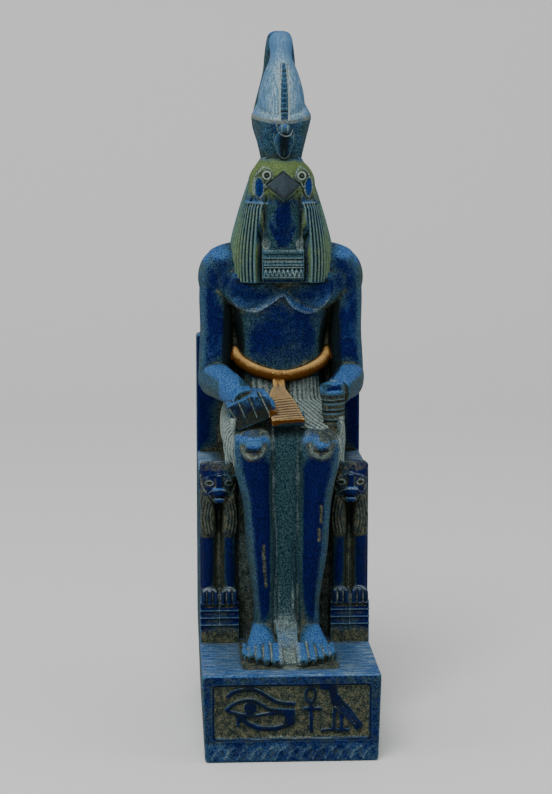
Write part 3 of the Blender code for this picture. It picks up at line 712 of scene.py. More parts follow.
def model_wig(bm):
    """A striped wig with a lappet down each side of the throat, over a collar in three rows."""
    loft(bm, [
        (0, -23, 209.5, 8, 9.4), (0, -22.6, 205.4, 10.6, 12.6), (0, -22, 200.5, 13.2, 15.4),
        (0, -21.2, 190, 16.8, 18.2), (0, -20.4, 181.5, 19.4, 19.6), (0, -20, 172, 21.8, 20.4),
        (0, -20.2, 163, 22.4, 20.6), (0, -20.2, 155, 21.8, 20.2),
    ], power=2.6, sides=160, steps=6, carve=wig_set_back)
    loft(bm, [
        (0, -20, 157, 8.4, 18), (0, -20, 172, 8.6, 19.6), (0, -20, 186, 8.6, 18.6), (0, -20, 196, 8.4, 16),
    ], power=4, sides=40)
    slab(bm, (-8.8, -40.2, 156.6), (8.8, -20, 169.6))
    for k in range(3):
        slab(bm, (-8.4, -40.9, 157.6 + 4.1 * k), (8.4, -20, 160.4 + 4.1 * k))


def model_head(bm):
    """A falcon's head: full cheeks, hollows for the round eyes, a short broad beak and a full throat."""
    blob(bm, (0, -25.6, 197.5), (14.4, 13.6, 12.2))
    blob(bm, (0, -28.6, 183), (8.4, 12.8, 15))
    hull(bm, [
        (0, -38.4, 203.2), (-7.8, -37.4, 195.8), (7.8, -37.4, 195.8), (0, -42.6, 202.4), (0, -46.8, 198),
        (-2, -46, 195.4), (2, -46, 195.4), (0, -47.6, 192.6), (0, -45.6, 190.6), (0, -38, 189.6),
    ])
    for side in BOTH:
        blob(bm, (side * 7.8, -36.4, 200.8), (3.4, 1.9, 3.2), side * 26, "Z")
        blob(bm, (side * 10.4, -34.4, 195.8), (1.9, 2.4, 4.7), side * 38, "Z")


def model_crown(bm):
    """A tall crown inside a low one, whose back runs up into a spire, with a cobra up the front."""
    loft(bm, [
        (0, -22, 204, 8.6, 9.8), (0, -22, 208.5, 9, 10.2), (0, -22, 217, 11, 12), (0, -22, 224.6, 13.1, 14),
    ], power=2.1, sides=64, steps=3)
    ledge = [(0, -22, 224.4, 13.1, 14), (0, -22, 226, 12.9, 13.2), (0, -21, 232, 10.2, 9)]
    loft(bm, ledge, power=2.1, sides=64, steps=1)
    for spot in bm.verts:
        height = spot.co.z / MM - PLINTH_TOP
        if height > 216:
            spot.co.z += MM * 0.1 * (height - 216) * (2.6 * (spot.co.x / MM / 13.1) ** 2 - 1.6)
    loft(bm, TALL_CROWN, sides=56)
    loft(bm, [
        (-0.2, -12.4, 214, 9.6, 4.4), (-0.2, -12.2, 223, 12.2, 4.4), (-0.2, -12, 230, 11.2, 4.2),
        (-0.2, -11.8, 244.6, 7.5, 4.2),
        (-0.2, -11.8, 252, 6.7, 4.2), (-0.2, -11.8, 259, 5.7, 4.2), (-0.2, -11.8, 262, 4.4, 3.4),
        (-0.2, -11.8, 263, 2, 1.6),
    ], power=3)
    loft(bm, [
        (0.6, -32.8, 208.4, 2, 2), (0.6, -34.6, 212.4, 3.2, 1.7), (0.6, -36.2, 216.6, 4.2, 1.6),
        (0.6, -37, 219.4, 2.8, 1.5),
    ], sides=24)
    blob(bm, (0.6, -37.8, 221), (2.7, 3, 2))
    rows = [row for row in sampled(TALL_CROWN, 8) if 226 < row[2] < 248.6]
    for k, row in enumerate(rows[::2]):
        thinning = 1 - 0.6 * k / len(rows[::2])
        blob(bm, (0.8, row[1] - row[4] - 0.1, row[2]), (1.6 * thinning, 1.1, 0.85))


def carve_cobra(skin):
    """A ladder between two lines up the tall crown, and a spread hood on the low one."""
    front = dict(depth=(-60, -24), least=0.1)
    for foot, head in (((-1.3, 226.6), (-0.1, 248.6)), ((2.9, 226.6), (1.7, 248.6))):
        skin.trace([foot, head], 0.34, 0.25, tint=("chalk", 0.95), **front)
    skin.trace([(0.8, 226), (0.8, 248.6)], 0.9, 0, tint=("ink", 0.5), **front)
    for k in range(10):
        up = 227.6 + 2.05 * k
        skin.trace([(-0.5, up), (2.1, up)], 0.3, 0.25, tint=("chalk", 0.42), **front)
    hood = [
        (-3.6, 219.4), (-3.3, 214.2), (-1.4, 209.8), (0.6, 208.2), (2.6, 209.8), (4.5, 214.2), (4.8, 219.4)
    ]
    skin.trace(sampled(hood, 4), 0.34, 0.2, tint=("chalk", 0.55), **front)
    skin.trace([(0.6, 208), (0.6, 217)], 2.6, 0, tint=("ink", 1.0), **front)
    skin.trace(
        sampled([(-2.6, 222.6), (-1.6, 219.4), (1.0, 217.8), (3.4, 218.6), (4.4, 220.6)], 4), 0.36, 0.25,
        tint=("chalk", 0.8), **front
    )
    for across in (-0.6, 1.8):
        skin.trace([(across, 219.6), (across + 0.2, 223.4)], 0.34, 0.25, tint=("chalk", 0.6), **front)
    skin.trace([(0.6, 212), (0.6, 209.4)], 0.3, 0.2, tint=("chalk", 0.5), **front)


def model_lion(bm, side):
    """A lion's forequarters in high relief on one front corner of the throne, its paws on a banded step."""
    x = side * (HALF_WIDTH - 8.7)
    slab(bm, (x - 8.4, -53.0, -1), (x + 8.4, -40, 18.2))
    slab(bm, (x - 8.2, -46.4, 10), (x + 8.2, -40, 66))
    for part in BOTH:
        leg = x + part * 4.6
        loft(bm, [
            (leg, -45.4, 14, 3.3, 5), (leg, -45.4, 24, 3, 5), (leg, -45.6, 38, 3, 5.2),
            (leg, -45.4, 50, 3.4, 5.4),
        ], sides=24)
        blob(bm, (x + part * 4.1, -49.2, 20.4), (4.2, 4.8, 3.9))
        for toe in BOTH + (0,):
            blob(bm, (x + part * 4.1 + toe * 2.55, -52.4, 19.8), (1.4, 2.3, 3.5))
        loft(bm, [
            (x + part * 5.2, -46.2, 70, 2.2, 4.6), (x + part * 5, -46.4, 62, 3, 5.2),
            (x + part * 4.6, -46.8, 54, 3.7, 5.4),
            (x + part * 4.5, -46.8, 48.6, 3.6, 5), (x + part * 4.5, -46.4, 46.2, 2.6, 3.8),
        ], sides=48)
        blob(bm, (x + part * 6, -47, 76.4), (2.3, 3, 2.4))
        blob(bm, (x + part * 3.9, -53.4, 72), (2, 1.4, 1.6))
    loft(bm, [
        (x, -48, 61.4, 2.4, 3.4), (x, -48, 65, 4.8, 6.2), (x, -47.6, 70, 7, 7.4), (x, -47, 75, 7.8, 7.4),
        (x, -46, 78, 6.4, 6),
    ], power=2.4)
    blob(bm, (x, -54.4, 67), (3.2, 2.8, 2.4))
    blob(bm, (x, -54.6, 63.4), (2.6, 2, 1.3))
    slab(bm, (x - 1.1, -56, 68), (x + 1.1, -50, 74))


def carve_face(skin):
    """Eye rings, brow lines, the rims of the drops, the beak's edges and the ledges under the cheeks."""
    rings = ((-7.0, 201.2), (8.0, 201.0))
    x, y, z = skin.points.T
    for across, up, wide, tall in ((-9.0, 198.6, 3.7, 5.8), (9.4, 199.2, 3.4, 5.6)):
        socket = 1 - step(np.hypot((x - across) / wide, (z - up) / tall), 0.75, 1.05)
        skin.daub("ink", socket * (y < -28) * 0.6)
    for across, up in rings:
        ring = [(across + 1.55 * cos(k * pi / 8), up + 1.55 * sin(k * pi / 8)) for k in range(17)]
        around = [(across, up), (across + 0.1, up)]
        skin.trace(around, 2.7, 0, depth=(-60, -28), least=0.0, tint=("ink", 1.0))
        skin.trace(ring, 0.42, 0.42, depth=(-60, -30), tint=("chalk", 1.0))
        skin.trace(around, 0.5, 0.2, depth=(-60, -30), tint=("chalk", 0.5))
    brows = (
        [
            (-4.4, 200.0), (-4.6, 202.2), (-5.9, 204.0), (-8.2, 204.5), (-11.0, 201.6), (-12.7, 197.0),
            (-12.4, 192.8)
        ],
        [(5.5, 200.4), (6.0, 203.0), (7.7, 204.7), (10.5, 202.8), (12.3, 199.1), (12.7, 194.0)],
        [(-4.8, 200.0), (-7.2, 198.2), (-8.0, 196.0)], [(5.2, 200.0), (7.6, 198.4), (8.6, 196.2)],
    )
    for line in brows:
        skin.trace(line, 0.42, 0.4, depth=(-60, -28), least=0.05, tint=("chalk", 0.66))
    for across, up, wide, tall in ((-10.1, 195.9, 2.0, 4.5), (11.1, 196.2, 1.7, 4.1)):
        rim = [(across + wide * cos(k * pi / 8), up + tall * sin(k * pi / 8)) for k in range(17)]
        skin.trace(rim, 0.36, 0.32, depth=(-60, -26), least=0.05, tint=("chalk", 0.7))
    for line in ([(0.6, 203.2), (-7.4, 195.9)], [(0.6, 203.2), (7.6, 195.9)]):
        skin.trace(line, 0.34, 0.25, depth=(-60, -34), least=0.0, tint=("chalk", 0.5))
    skin.trace([(-7.0, 195.4), (0, 192.2), (7.0, 195.4)], 0.35, -0.25, depth=(-60, -38), least=0.0)
    skin.trace([(6.1, 194.0), (6.2, 194.2)], 0.5, -0.4, depth=(-60, -34), least=0.0)
    for line in ([(-15.5, 189.2), (-6.5, 189.0)], [(8.5, 189.0), (13.9, 189.2)]):
        skin.trace(line, 0.6, 0.5, depth=(-60, -24), least=0.05, tint=("chalk", 0.48))


def carve_collar(skin):
    """Rows of beads and leaves between the lappets."""
    x, y, z = skin.points.T
    cloth = (np.abs(x) < 9) * (y < -38.4) * (z > 155.8) * (z < 170.4)
    skin.daub("sea", cloth * 0.8)
    for up in (168.9, 165.9, 162.9, 161.9, 157.6):
        skin.trace([(-8.4, up), (8.4, up)], 0.3, 0.3, depth=(-44, -38), tint=("chalk", 0.62))
    for up in (167.4, 162.4):
        skin.trace([(-8.4, up), (8.4, up)], 0.4, -0.35, depth=(-44, -38), tint=("ink", 0.6))
    skin.trace([(-8.4, 164.6), (8.4, 164.6)], 0.9, 0, depth=(-44, -38), tint=("chalk", 0.5))
    for k in range(9):
        across = -7.6 + 1.9 * k
        leaf = [(across - 0.75, 158.3), (across, 161.2), (across + 0.75, 158.3)]
        skin.trace(leaf, 0.3, 0.3, depth=(-44, -38), tint=("chalk", 0.62))
        skin.trace(
            [(across + 0.4, 163.6), (across + 0.4, 165.4)], 0.3, -0.3, depth=(-44, -38), tint=("ink", 0.5)
        )


def carve_locks(skin, depth):
    """Grooves between the wig's locks, fanning down from the crown of the head."""
    x, y, z = skin.points.T
    turn = np.arctan2(x, -(y + 21.5))
    lappets = step(189.2 - z, 0.0, 1.0) * step(np.abs(x), 7.6, 8.8)
    rest = step(np.abs(turn), 1.05, 1.25) * step(206.0 - z, 0.0, 10.0)
    cover = np.maximum(lappets, rest) * (z > 155.2)
    wave = np.abs(np.sin(turn * 38.0))
    skin.out += cover * depth * (wave ** 0.7 - 0.75) * 2.0
    bluish = step(15.0 - np.abs(x), 0.0, 5.0) * lappets
    side = step(np.abs(x), 15, 19)
    skin.daub("leaf", cover * np.maximum(step(wave, 0.5, 0.9), side * 0.6) * (1.0 - 0.35 * bluish))
    skin.daub("chalk", cover * step(wave, 0.8, 1.0) * (0.34 + 0.12 * bluish))
    skin.daub("sea", cover * (1 - step(wave, 0.3, 0.62)) * (0.9 - 0.4 * side))
    skin.daub("ink", cover * (1 - step(wave, 0.1, 0.5)) * (0.7 - 0.3 * side))
    brow = (1 - np.clip(cover, 0, 1)) * step(z, 186, 196) * step(204.5 - z, -8, 2)
    skin.daub("leaf", brow * (0.72 + 0.28 * step(z, 199, 203)))
    cheeks = (1 - np.clip(cover, 0, 1)) * step(z, 184, 188) * (1 - step(z, 196, 200)) * step(np.abs(x), 5, 8)
    skin.daub("chalk", cheeks * 0.24)
    skin.daub("ink", cheeks * 0.22)
    throat = (1 - step(np.abs(x), 6.6, 8.4)) * (1 - step(z, 187.5, 190)) * step(z, 169.5, 171.5) * (y < -36)
    skin.daub("sea", throat * step(np.abs(x) + 0.5 * np.abs(z - 180), 4.0, 9.0))
    corners = (1 - step(np.hypot((np.abs(x) - 7.2) / 2.2, (z - 171.6) / 3.6), 0.6, 1.2)) * (y < -34)
    skin.daub("chalk", corners * 0.6)


def carve_chest(skin):
    """The breast muscles end in a crisp arc above the belly, with a painted highlight above the arc, a
    painted shadow line under it, and painted shadows under the lappets.
    """
    x, y, z = skin.points.T
    facing = -skin.normals[:, 1]
    arc = [
        (-27, 156), (-21.9, 146.0), (-16.3, 142.2), (-11.5, 141.6), (-6.3, 144.0), (-1.6, 147.4), (0, 148.2),
        (1.6, 147.4), (4.1, 143.8), (9.8, 140.8), (15.5, 141.9), (19.4, 145.8), (23.7, 152.8), (27, 158),
    ]
    arc = sampled(arc, 6)
    above = z - np.interp(x, [spot[0] for spot in arc], [spot[1] for spot in arc])
    shown = step(facing, 0.1, 0.4) * (y < -24) * step(158.0 - z, 0.0, 6.0) * step(24.0 - np.abs(x), 0.0, 5.0)
    skin.out += shown * step(above, -1.2, 1.2) * np.exp(-np.maximum(above, 0) / 7.0) * 0.8
    # Painted highlight on the bulge above the arc.
    skin.daub("bright", shown * step(above, -1.0, 1.0) * np.exp(-((above - 2.0) / 4.0) ** 2) * 0.5)
    skin.daub("chalk", shown * step(above, -1.0, 0.6) * np.exp(-((above - 0.8) / 2.0) ** 2) * 0.42)
    # Painted shadow line under the arc.
    skin.daub("ink", shown * np.exp(-((above + 1.6) / 0.8) ** 2) * 0.34)
    sides = step(np.hypot(x / 14, (z - 127) / 17), 0.6, 1.3) * (z > 112) * (1 - step(z, 138, 144))
    skin.daub("sea", sides * (y < -22) * (1 - step(np.abs(x), 19, 20.5)) * 0.56)
    # Painted shadow cast by the lappets on the chest below them.
    under_lappets = np.hypot((np.abs(x) - 13.5) / 8.5, (z - 155.4) / 2.0)
    skin.daub("ink", (1 - step(under_lappets, 0.6, 1.2)) * (y < -28) * 0.7)


def carve_kilt(skin, depth):
    """Pleats that fan away from the apron over the lap, and folds round the outer thighs."""
    x, y, z = skin.points.T
    lap = step(skin.normals[:, 2] - 0.4 * skin.normals[:, 1], 0.25, 0.5) * (z > 95) * (z < 113.4) * (y < -28)
    lap = lap * (z < np.interp(-y, [28, 36, 40, 50, 60], [115, 113, 105, 101.4, 98]))
    right = lap * step(x, 3.0, 4.0) * (x < 20) * (y > -66)
    left = lap * (x < -4.0) * (x > -13) * (y > -50)
    outer = step(np.abs(x), 20.5, 22.5) * step(z, 77, 80) * (z < 100) * (y < -8) * (y > -68)
    folds = (
        (right, np.abs(np.sin((x + 0.55 * (y + 44)) * pi / 2.3)), 2.0),
        (left, np.abs(np.sin((x + 0.6 * (y + 44)) * pi / 2.3)), 1.6),
        (outer, np.abs(np.sin((y + 0.3 * (z - 88)) * pi / 2.8)), 1.8),
    )
    for cloth, wave, share in folds:
        skin.out += cloth * (wave ** 0.7 - 0.7) * depth * share
        skin.daub("sea", cloth * (1 - step(wave, 0.3, 0.7)))
        skin.daub("earth", cloth * 0.5)
        skin.daub("chalk", cloth * (0.46 + 0.36 * step(wave, 0.3, 0.9)))
    front = (np.abs(x) < 17) * (y < -31) * step(z, 103, 105) * (1 - step(z, 111, 112.6)) * (y > -42)
    upright = np.abs(np.sin(x * pi / 2.3))
    skin.out += front * (upright - 0.6) * depth
    skin.daub("earth", front * 0.9)
    skin.daub("chalk", front * step(upright, 0.6, 1.0) * 0.62)


def carve_belt(skin):
    """The belt is gilt all round, with a painted shadow under its lower edge."""
    x, y, z = skin.points.T
    angle = np.arctan2(x / 20.6, -(y + 18.2) / 18.6)
    height = 114.3 + 9.5 * np.minimum(1.0, (1 - np.cos(angle)) ** 0.8)
    outward = np.hypot(x, (y + 18.2) * 20.6 / 18.6) - 20.6
    away = np.hypot(outward, z - height)
    skin.daub("gold", (1 - step(away, 2.7, 3.1)) * (y < 2))
    # Painted shadow under the belt's lower edge.
    under = np.exp(-(((z - height + 3.6) / 1.2) ** 2)) * (1 - step(np.abs(outward), 2.0, 4.0)) * (y < -20)
    skin.daub("ink", under * 0.5)


def shade_recesses(skin):
    """Painted shade in brown black where the arms stand beside the body, on the set-back faces between them
    and under the apron's end; teal between the shins, chalk down the ramp.
    """
    x, y, z = skin.points.T
    nx, ny, nz = skin.normals.T
    inward = np.sign(x) * nx
    level = step(z, 100, 112) * (1 - step(z, 146, 156))
    # Painted shade in the gap between each arm and the body.
    arm = level * step(np.abs(x), 19.5, 21) * step(-inward, 0.05, 0.6) * (y < 2)
    flank = level * step(np.abs(x), 13.5, 18) * (1 - step(np.abs(x), 20.5, 22)) * step(inward, 0.45, 0.85)
    skin.daub("ink", np.maximum(arm, flank) * 0.85)
    # Painted shade on the front faces set back between the arms and the body.
    skin.daub("ink", level * step(y, -24, -14) * (np.abs(x) < 26) * step(-ny, 0.3, 0.7))
    middle = (1 - step(np.abs(x + 0.2), 5.5, 8.5)) * (y < -56) * (z < 98)
    core = middle * (y > -68.5)
    skin.daub("sea", core * step(z, 4, 16))
    skin.daub("chalk", middle * (1 - step(z, 0, 34)) * (1 - step(np.abs(x), 3.6, 6)) * 0.6)
    strands = np.abs(np.sin(x * 1.6)) * (1 - step(z, 24, 40)) * core
    skin.daub("chalk", strands * 0.45)
    skin.daub("earth", core * step(z, 50, 88) * 0.5)
    rims = np.exp(-((np.abs(x + 0.4) - 5.2) / 1.0) ** 2) * core * step(z, 30, 60)
    skin.daub("chalk", rims * 0.38)
    arms = step(np.abs(x), 23, 26) * step(z, 112, 120) * (1 - step(z, 148, 158)) * (y < -18)
    skin.daub("bright", arms * 0.24)
    # Painted shadow under the apron's end.
    lip = (np.abs(x) < 8) * (y < -50) * (y > -68) * (z < 97.5) * (z > 84)
    skin.daub("ink", lip * step(z, 88, 94) * 0.75)
    over_knees = (y < -46) * step(z, 89, 96) * (z < 99.5) * (np.abs(x) < 25)
    skin.daub("earth", over_knees * step(nz, -0.1, 0.5) * 0.8)


def carve_shins(skin):
    """A chalky line down the left shin's inner edge, bare sandy spots, and paint round the kneecaps."""
    x, y, z = skin.points.T
    for side in BOTH:
        middle = np.interp(z, [8, 21, 43, 62, 85], [9.4, 9.5, 10.5, 12, 14.2])
        inner = 1 - step(side * x - middle, -3.5, 6.0)
        shin = (side * x > 0.5) * (y < -57) * step(z, 10, 20) * (1 - step(z, 78, 86))
        skin.daub("navy", shin * inner)
    edge = [(-6.0, 78), (-5.4, 66), (-4.6, 56), (-4.0, 46), (-4.2, 34), (-4.4, 22), (-4.4, 8)]
    skin.trace(sampled(edge, 4), 0.5, 0.1, depth=(-80, -52), least=-0.3, tint=("chalk", 0.42))
    skin.trace([(5.4, 74), (5.2, 60), (3.6, 46)], 0.6, 0, depth=(-80, -52), least=-0.3, tint=("chalk", 0.3))
    bare = (
        ((-10.0, 46), (-9.7, 41), (-9.3, 35), (-8.8, 28)), ((14.4, 63), (14.6, 56)), ((13.6, 53), (13.8, 48)),
    )
    for spots in bare:
        skin.trace(spots, 0.9, -0.15, depth=(-80, -60), tint=("earth", 1.0))
        skin.trace(spots, 0.5, 0, depth=(-80, -60), tint=("chalk", 0.42))
    for side in BOTH:
        crescent = ((10.0, 89.0), (11.0, 86.0), (14.3, 84.6), (17.6, 86.0), (18.6, 89.0))
        crescent = sampled([(side * x, z) for x, z in crescent], 4)
        skin.trace(
            [(side * 14.3 - 2.6, 90), (side * 14.3 + 2.6, 90)], 1.5, 0, depth=(-80, -60), least=0,
            tint=("bright", 1.0)
        )
        skin.trace(crescent, 2.4, 0, depth=(-80, -60), least=0, tint=("earth", 0.8))
        skin.trace(crescent, 1.2, 0, depth=(-80, -60), least=0, tint=("chalk", 0.45))


def carve_hands(skin):
    """Lines between the fingers and the roll's end."""
    x, y, z = skin.points.T
    clasp = (x < -6.2) * (x > -27) * (y < -57.5) * (z < 109) * (z > 93)
    knuckles = (z < 98.3 + 0.38 * (x + 26) + 8.5) * clasp
    skin.daub("ink", knuckles * 0.66 * step(-skin.normals[:, 1], 0.3, 0.8))
    back = (x < -9) * (x > -28) * (y < -46) * step(z, 103, 107)
    skin.daub("bright", back * 0.8)
    skin.daub("earth", clasp * (z < 101 + 0.35 * (x + 20)) * 0.72)
    for line in (
        [(-24.0, 103.6), (-20.9, 99.0)], [(-20.4, 107.0), (-17.4, 100.2)], [(-15.8, 108.8), (-12.4, 100.4)],
        [(-11.4, 110.6), (-7.0, 101.4)],
    ):
        skin.trace(line, 0.9, 0, depth=(-70, -50), least=0.0, tint=("earth", 0.9))
        skin.trace(line, 0.36, 0.25, depth=(-70, -50), least=0.0, tint=("chalk", 0.5))
        skin.trace(
            [(across + 0.9, up) for across, up in line], 0.4, -0.2, depth=(-70, -50), least=0,
            tint=("ink", 0.5)
        )
    roll = (x > 13.5) * (x < 26.0) * (y < -47) * (z > 91)
    skin.daub("earth", roll * (1 - step(z, 108.5, 111)) * 0.8)
    skin.daub("ink", roll * (1 - step(z, 108.5, 110.5)) * 0.34)
    for up in (99.0, 103.2, 107.4):
        skin.trace(
            [(15.4, up - 0.4), (25.6, up + 0.3)], 0.3, 0.25, depth=(-70, -50), least=0.0,
            tint=("chalk", 0.5)
        )
        skin.trace(
            [(15.4, up - 1.3), (25.6, up - 0.6)], 0.6, -0.35, depth=(-70, -50), least=0.0, tint=("ink", 0.7)
        )
    skin.trace([(20.6, -56.4), (20.6, -55.4)], 2.0, -0.2, side="top", depth=(112, 118), tint=("chalk", 0.7))


def carve_apron(skin):
    """Seven ridges across the apron that rise to the right, under a plain neck."""
    x, y, z = skin.points.T
    centre = np.interp(-y, [36, 44, 50, 58, 66], [-1.9, -2.0, -1.3, -0.3, 0.9])
    half = np.interp(-y, [36, 44, 50, 58, 66], [2.8, 4.4, 6.2, 7.1, 7.5])
    surface = np.interp(-y, [36, 44, 50, 58, 66], [115.2, 108.6, 105.6, 102.3, 99.9])
    tongue = (np.abs(x - centre) < half + 0.5) * (y < -36.5) * (y > -68.5) * (np.abs(z - surface) < 2.9)
    skin.daub("gold", tongue * step(skin.normals[:, 2], -0.55, -0.25))
    skin.daub("chalk", tongue * step(skin.normals[:, 2], -0.2, 0.2) * (y < -41) * 0.74)
    # Painted shade on the apron's underside.
    skin.daub("ink", tongue * (1 - step(skin.normals[:, 2], -0.6, -0.3)))
    on_top = step(skin.normals[:, 2], 0.1, 0.5) * tongue
    run = -(y + 45.5) + 0.3 * x
    cover = on_top * step(run, 2.2, 3.2)
    skin.out += cover * np.sin(run * 2 * pi / 2.05) * 0.2
    skin.out += on_top * np.exp(-((np.abs(x - centre) - half + 0.8) / 0.45) ** 2) * 0.15


def carve_feet(skin):
    """Gaps between the toes, and the nails."""
    for side in BOTH:
        for edge in (7.8, 11.3, 14.5, 17.4):
            skin.trace(
                [(side * edge, -93), (side * edge * 0.96, -80)], 0.3, -0.5, side="top", depth=(1, 9),
                tint=("chalk", 0.7)
            )
            skin.trace(
                [(side * edge, 5.4), (side * edge, 2.4)], 0.28, 0, depth=(-97, -80), least=0.0,
                tint=("chalk", 0.6)
            )
        skin.trace(
            [(side * 7.7, -92), (side * 7.6, -78)], 0.5, 0, side="top", depth=(1, 9), tint=("chalk", 0.8)
        )
        # Painted shadow along the foot of the toes, where they meet the plinth.
        skin.trace(
            [(side * 3, 1.6), (side * 17, 1.6)], 1.0, 0, depth=(-97, -82), least=0.0, tint=("ink", 0.6)
        )
        for middle, tip in ((5.2, -94.0), (9.5, -92.4), (12.9, -89.4), (16.0, -85.8)):
            skin.trace(
                [(side * middle - 0.8, tip + 1.6), (side * middle + 0.8, tip + 1.6)], 0.8, 0.3, side="top",
                depth=(1, 9)
            )


def carve_knees(skin):
    """A raised rim round each kneecap, a raised chalky arch over the knee, a sunk dark line across the
    kneecap and a chalky line above it.
    """
    for side, wide in ((-1, 5.0), (1, 5.4)):
        rim = [(side * 14.3 + wide * sin(k * pi / 8), 88.6 - 4.6 * cos(k * pi / 8)) for k in range(-5, 6)]
        skin.trace(rim, 0.5, 0.3, depth=(-80, -60), least=0.0)
        arch = [(side * 14.0 + 8.2 * sin(k * pi / 8), 87.0 + 8.6 * cos(k * pi / 8)) for k in range(-4, 5)]
        skin.trace(arch, 1.1, 0.3, depth=(-80, -56), least=0.0, tint=("chalk", 0.42))
        skin.trace(
            [(side * 14.3 - 3.4, 86.9), (side * 14.3 + 3.4, 86.9)], 0.5, -0.35, depth=(-80, -60),
            least=-0.3, tint=("ink", 0.45)
        )
        skin.trace(
            [(side * 14.3 - 3.2, 92.2), (side * 14.3 + 3.2, 92.2)], 0.4, 0, depth=(-80, -60), least=0,
            tint=("chalk", 0.4)
        )


def carve_lions(skin):
    """Brows, eyes, mouths, strands, claws and the lines of the step, and the paint that picks them out."""
    x, y, z = skin.points.T
    front = dict(depth=(-60, -40), least=0.0)
    for side in BOTH:
        middle = side * (HALF_WIDTH - 8.7)
        off = np.abs(x - middle)
        here = (side * x > 18) * (y < -41) * (side * x < 36.2)
        mane = here * step(z, 44.5, 47.5) * (1 - step(z, 62, 68)) * step(off, 0.8, 2.4)
        skin.daub("earth", mane * 0.9)
        skin.daub("earth", here * (1 - step(off, 1.2, 2.6)) * step(z, 20, 26) * (1 - step(z, 58, 62)))
        skin.daub("ink", here * (1 - step(off, 0.6, 3.2)) * step(z, 40, 52) * (1 - step(z, 60, 63)) * 0.8)
        skin.daub("earth", here * (1 - step(z, 3, 9)) * 0.8)
        skin.daub("ink", here * step(z, 3, 8) * (1 - step(z, 46, 50)) * 0.36)
        skin.daub("navy", here * step(z, 14, 16) * (1 - step(z, 80, 84)))
        skin.daub("ink", here * step(z, 17, 19) * (1 - step(z, 22, 25)) * 0.5)
        skin.daub("earth", here * step(z, 74, 76.5) * (1 - step(z, 79, 81)) * 0.5)
        skin.daub("bright", here * (1 - step(off, 2.2, 3.8)) * step(z, 62, 64) * (1 - step(z, 68, 70)) * 0.9)
        skin.daub("earth", here * step(off, 3.5, 7.0) * step(z, 62, 66) * (1 - step(z, 72, 76)) * 0.6)
        skin.daub("earth", here * step(z, 45, 47) * (1 - step(z, 47, 50)) * 0.7)
        for part in BOTH:
            eye = [
                (middle + part * 4.1 + 1.7 * cos(k * pi / 6), 70.7 + 1.1 * sin(k * pi / 6))
                for k in range(13)
            ]
            skin.trace(eye, 0.34, 0.3, tint=("chalk", 0.62), **front)
            spot = [(middle + part * 4.1, 70.7), (middle + part * 4.2, 70.7)]
            skin.trace(spot, 2.2, 0, tint=("earth", 0.85), **front)
            skin.trace(spot, 0.8, 0, tint=("ink", 0.9), **front)
            brow = [(middle, 74.6), (middle + part * 4, 73.8), (middle + part * 7.4, 71.4)]
            skin.trace(brow, 0.6, 0.4, tint=("chalk", 0.36), **front)
            mouth = [(middle, 64.8), (middle + part * 2.2, 64.2), (middle + part * 3.0, 65.2)]
            skin.trace(mouth, 0.4, -0.45, tint=("ink", 0.6), **front)
            smile = [(middle + part * 0.5, 68.0), (middle + part * 2.8, 67.6), (middle + part * 4.4, 66.0)]
            skin.trace(smile, 0.3, 0.2, tint=("chalk", 0.6), **front)
            ruff = [(middle + part * 7.7, 73.0), (middle + part * 6.4, 67.4), (middle + part * 1.2, 61.6)]
            skin.trace(sampled(ruff, 4), 0.45, 0.35, tint=("chalk", 0.48), **front)
            for k in range(4):
                strand = middle + part * (2.2 + 1.6 * k)
                root, bow = (middle + part * (2.6 + 1.2 * k), 60.5 + 1.4 * k), middle + part * (3.0 + 1.3 * k)
                hair = sampled([root, (bow + part * 0.7, 55), (strand, 47.2 + 0.4 * k)], 3)
                skin.trace(hair, 0.26, 0.3, tint=("chalk", 0.24), **front)
                between_hairs = [(spot_across + part * 0.8, up) for spot_across, up in hair]
                skin.trace(between_hairs, 0.3, -0.25, tint=("ink", 0.7), **front)
            for k in range(4):
                claw = middle + part * (0.4 + 2.55 * k)
                skin.trace([(claw, 23.0), (claw, 17.2)], 0.34, -0.4, tint=("chalk", 0.5), **front)
        for up in (17.6, 14.3, 11.1, 8.0):
            skin.trace([(middle - 8.2, up), (middle + 8.2, up)], 0.32, 0.3, tint=("chalk", 0.5), **front)
            skin.trace(
                [(middle - 8.2, up - 1.5), (middle + 8.2, up - 1.5)], 0.7, -0.3, tint=("ink", 0.45), **front
            )
        skin.trace([(middle, 57), (middle, 24)], 0.3, 0.3, tint=("chalk", 0.4), **front)
        skin.trace([(middle, 23), (middle, 7)], 0.3, 0.2, tint=("chalk", 0.5), **front)


PANEL = (-32.5, -27.5, 65.0, 23.3)
PANEL_FLOOR = FRONT - BACK_FACE + 1.4


def on_panel(across, up):
    """A point on the sunk panel's floor, from shares of its width and height."""
    left, foot, width, height = PANEL
    return left + across * width, PANEL_FLOOR, foot + up * height


def stroke(bm, points, width, thin_end=1.0):
    """A raised line through points on the panel, its half width in shares of the panel's height."""
    half = width * 1.22 * PANEL[3]
    stations = []
    for k, point in enumerate(points):
        narrowing = 1 + (thin_end - 1) * k / (len(points) - 1)
        stations.append((*on_panel(*point), half * narrowing, 1.2))
    loft(bm, stations, sides=20, power=2.6)


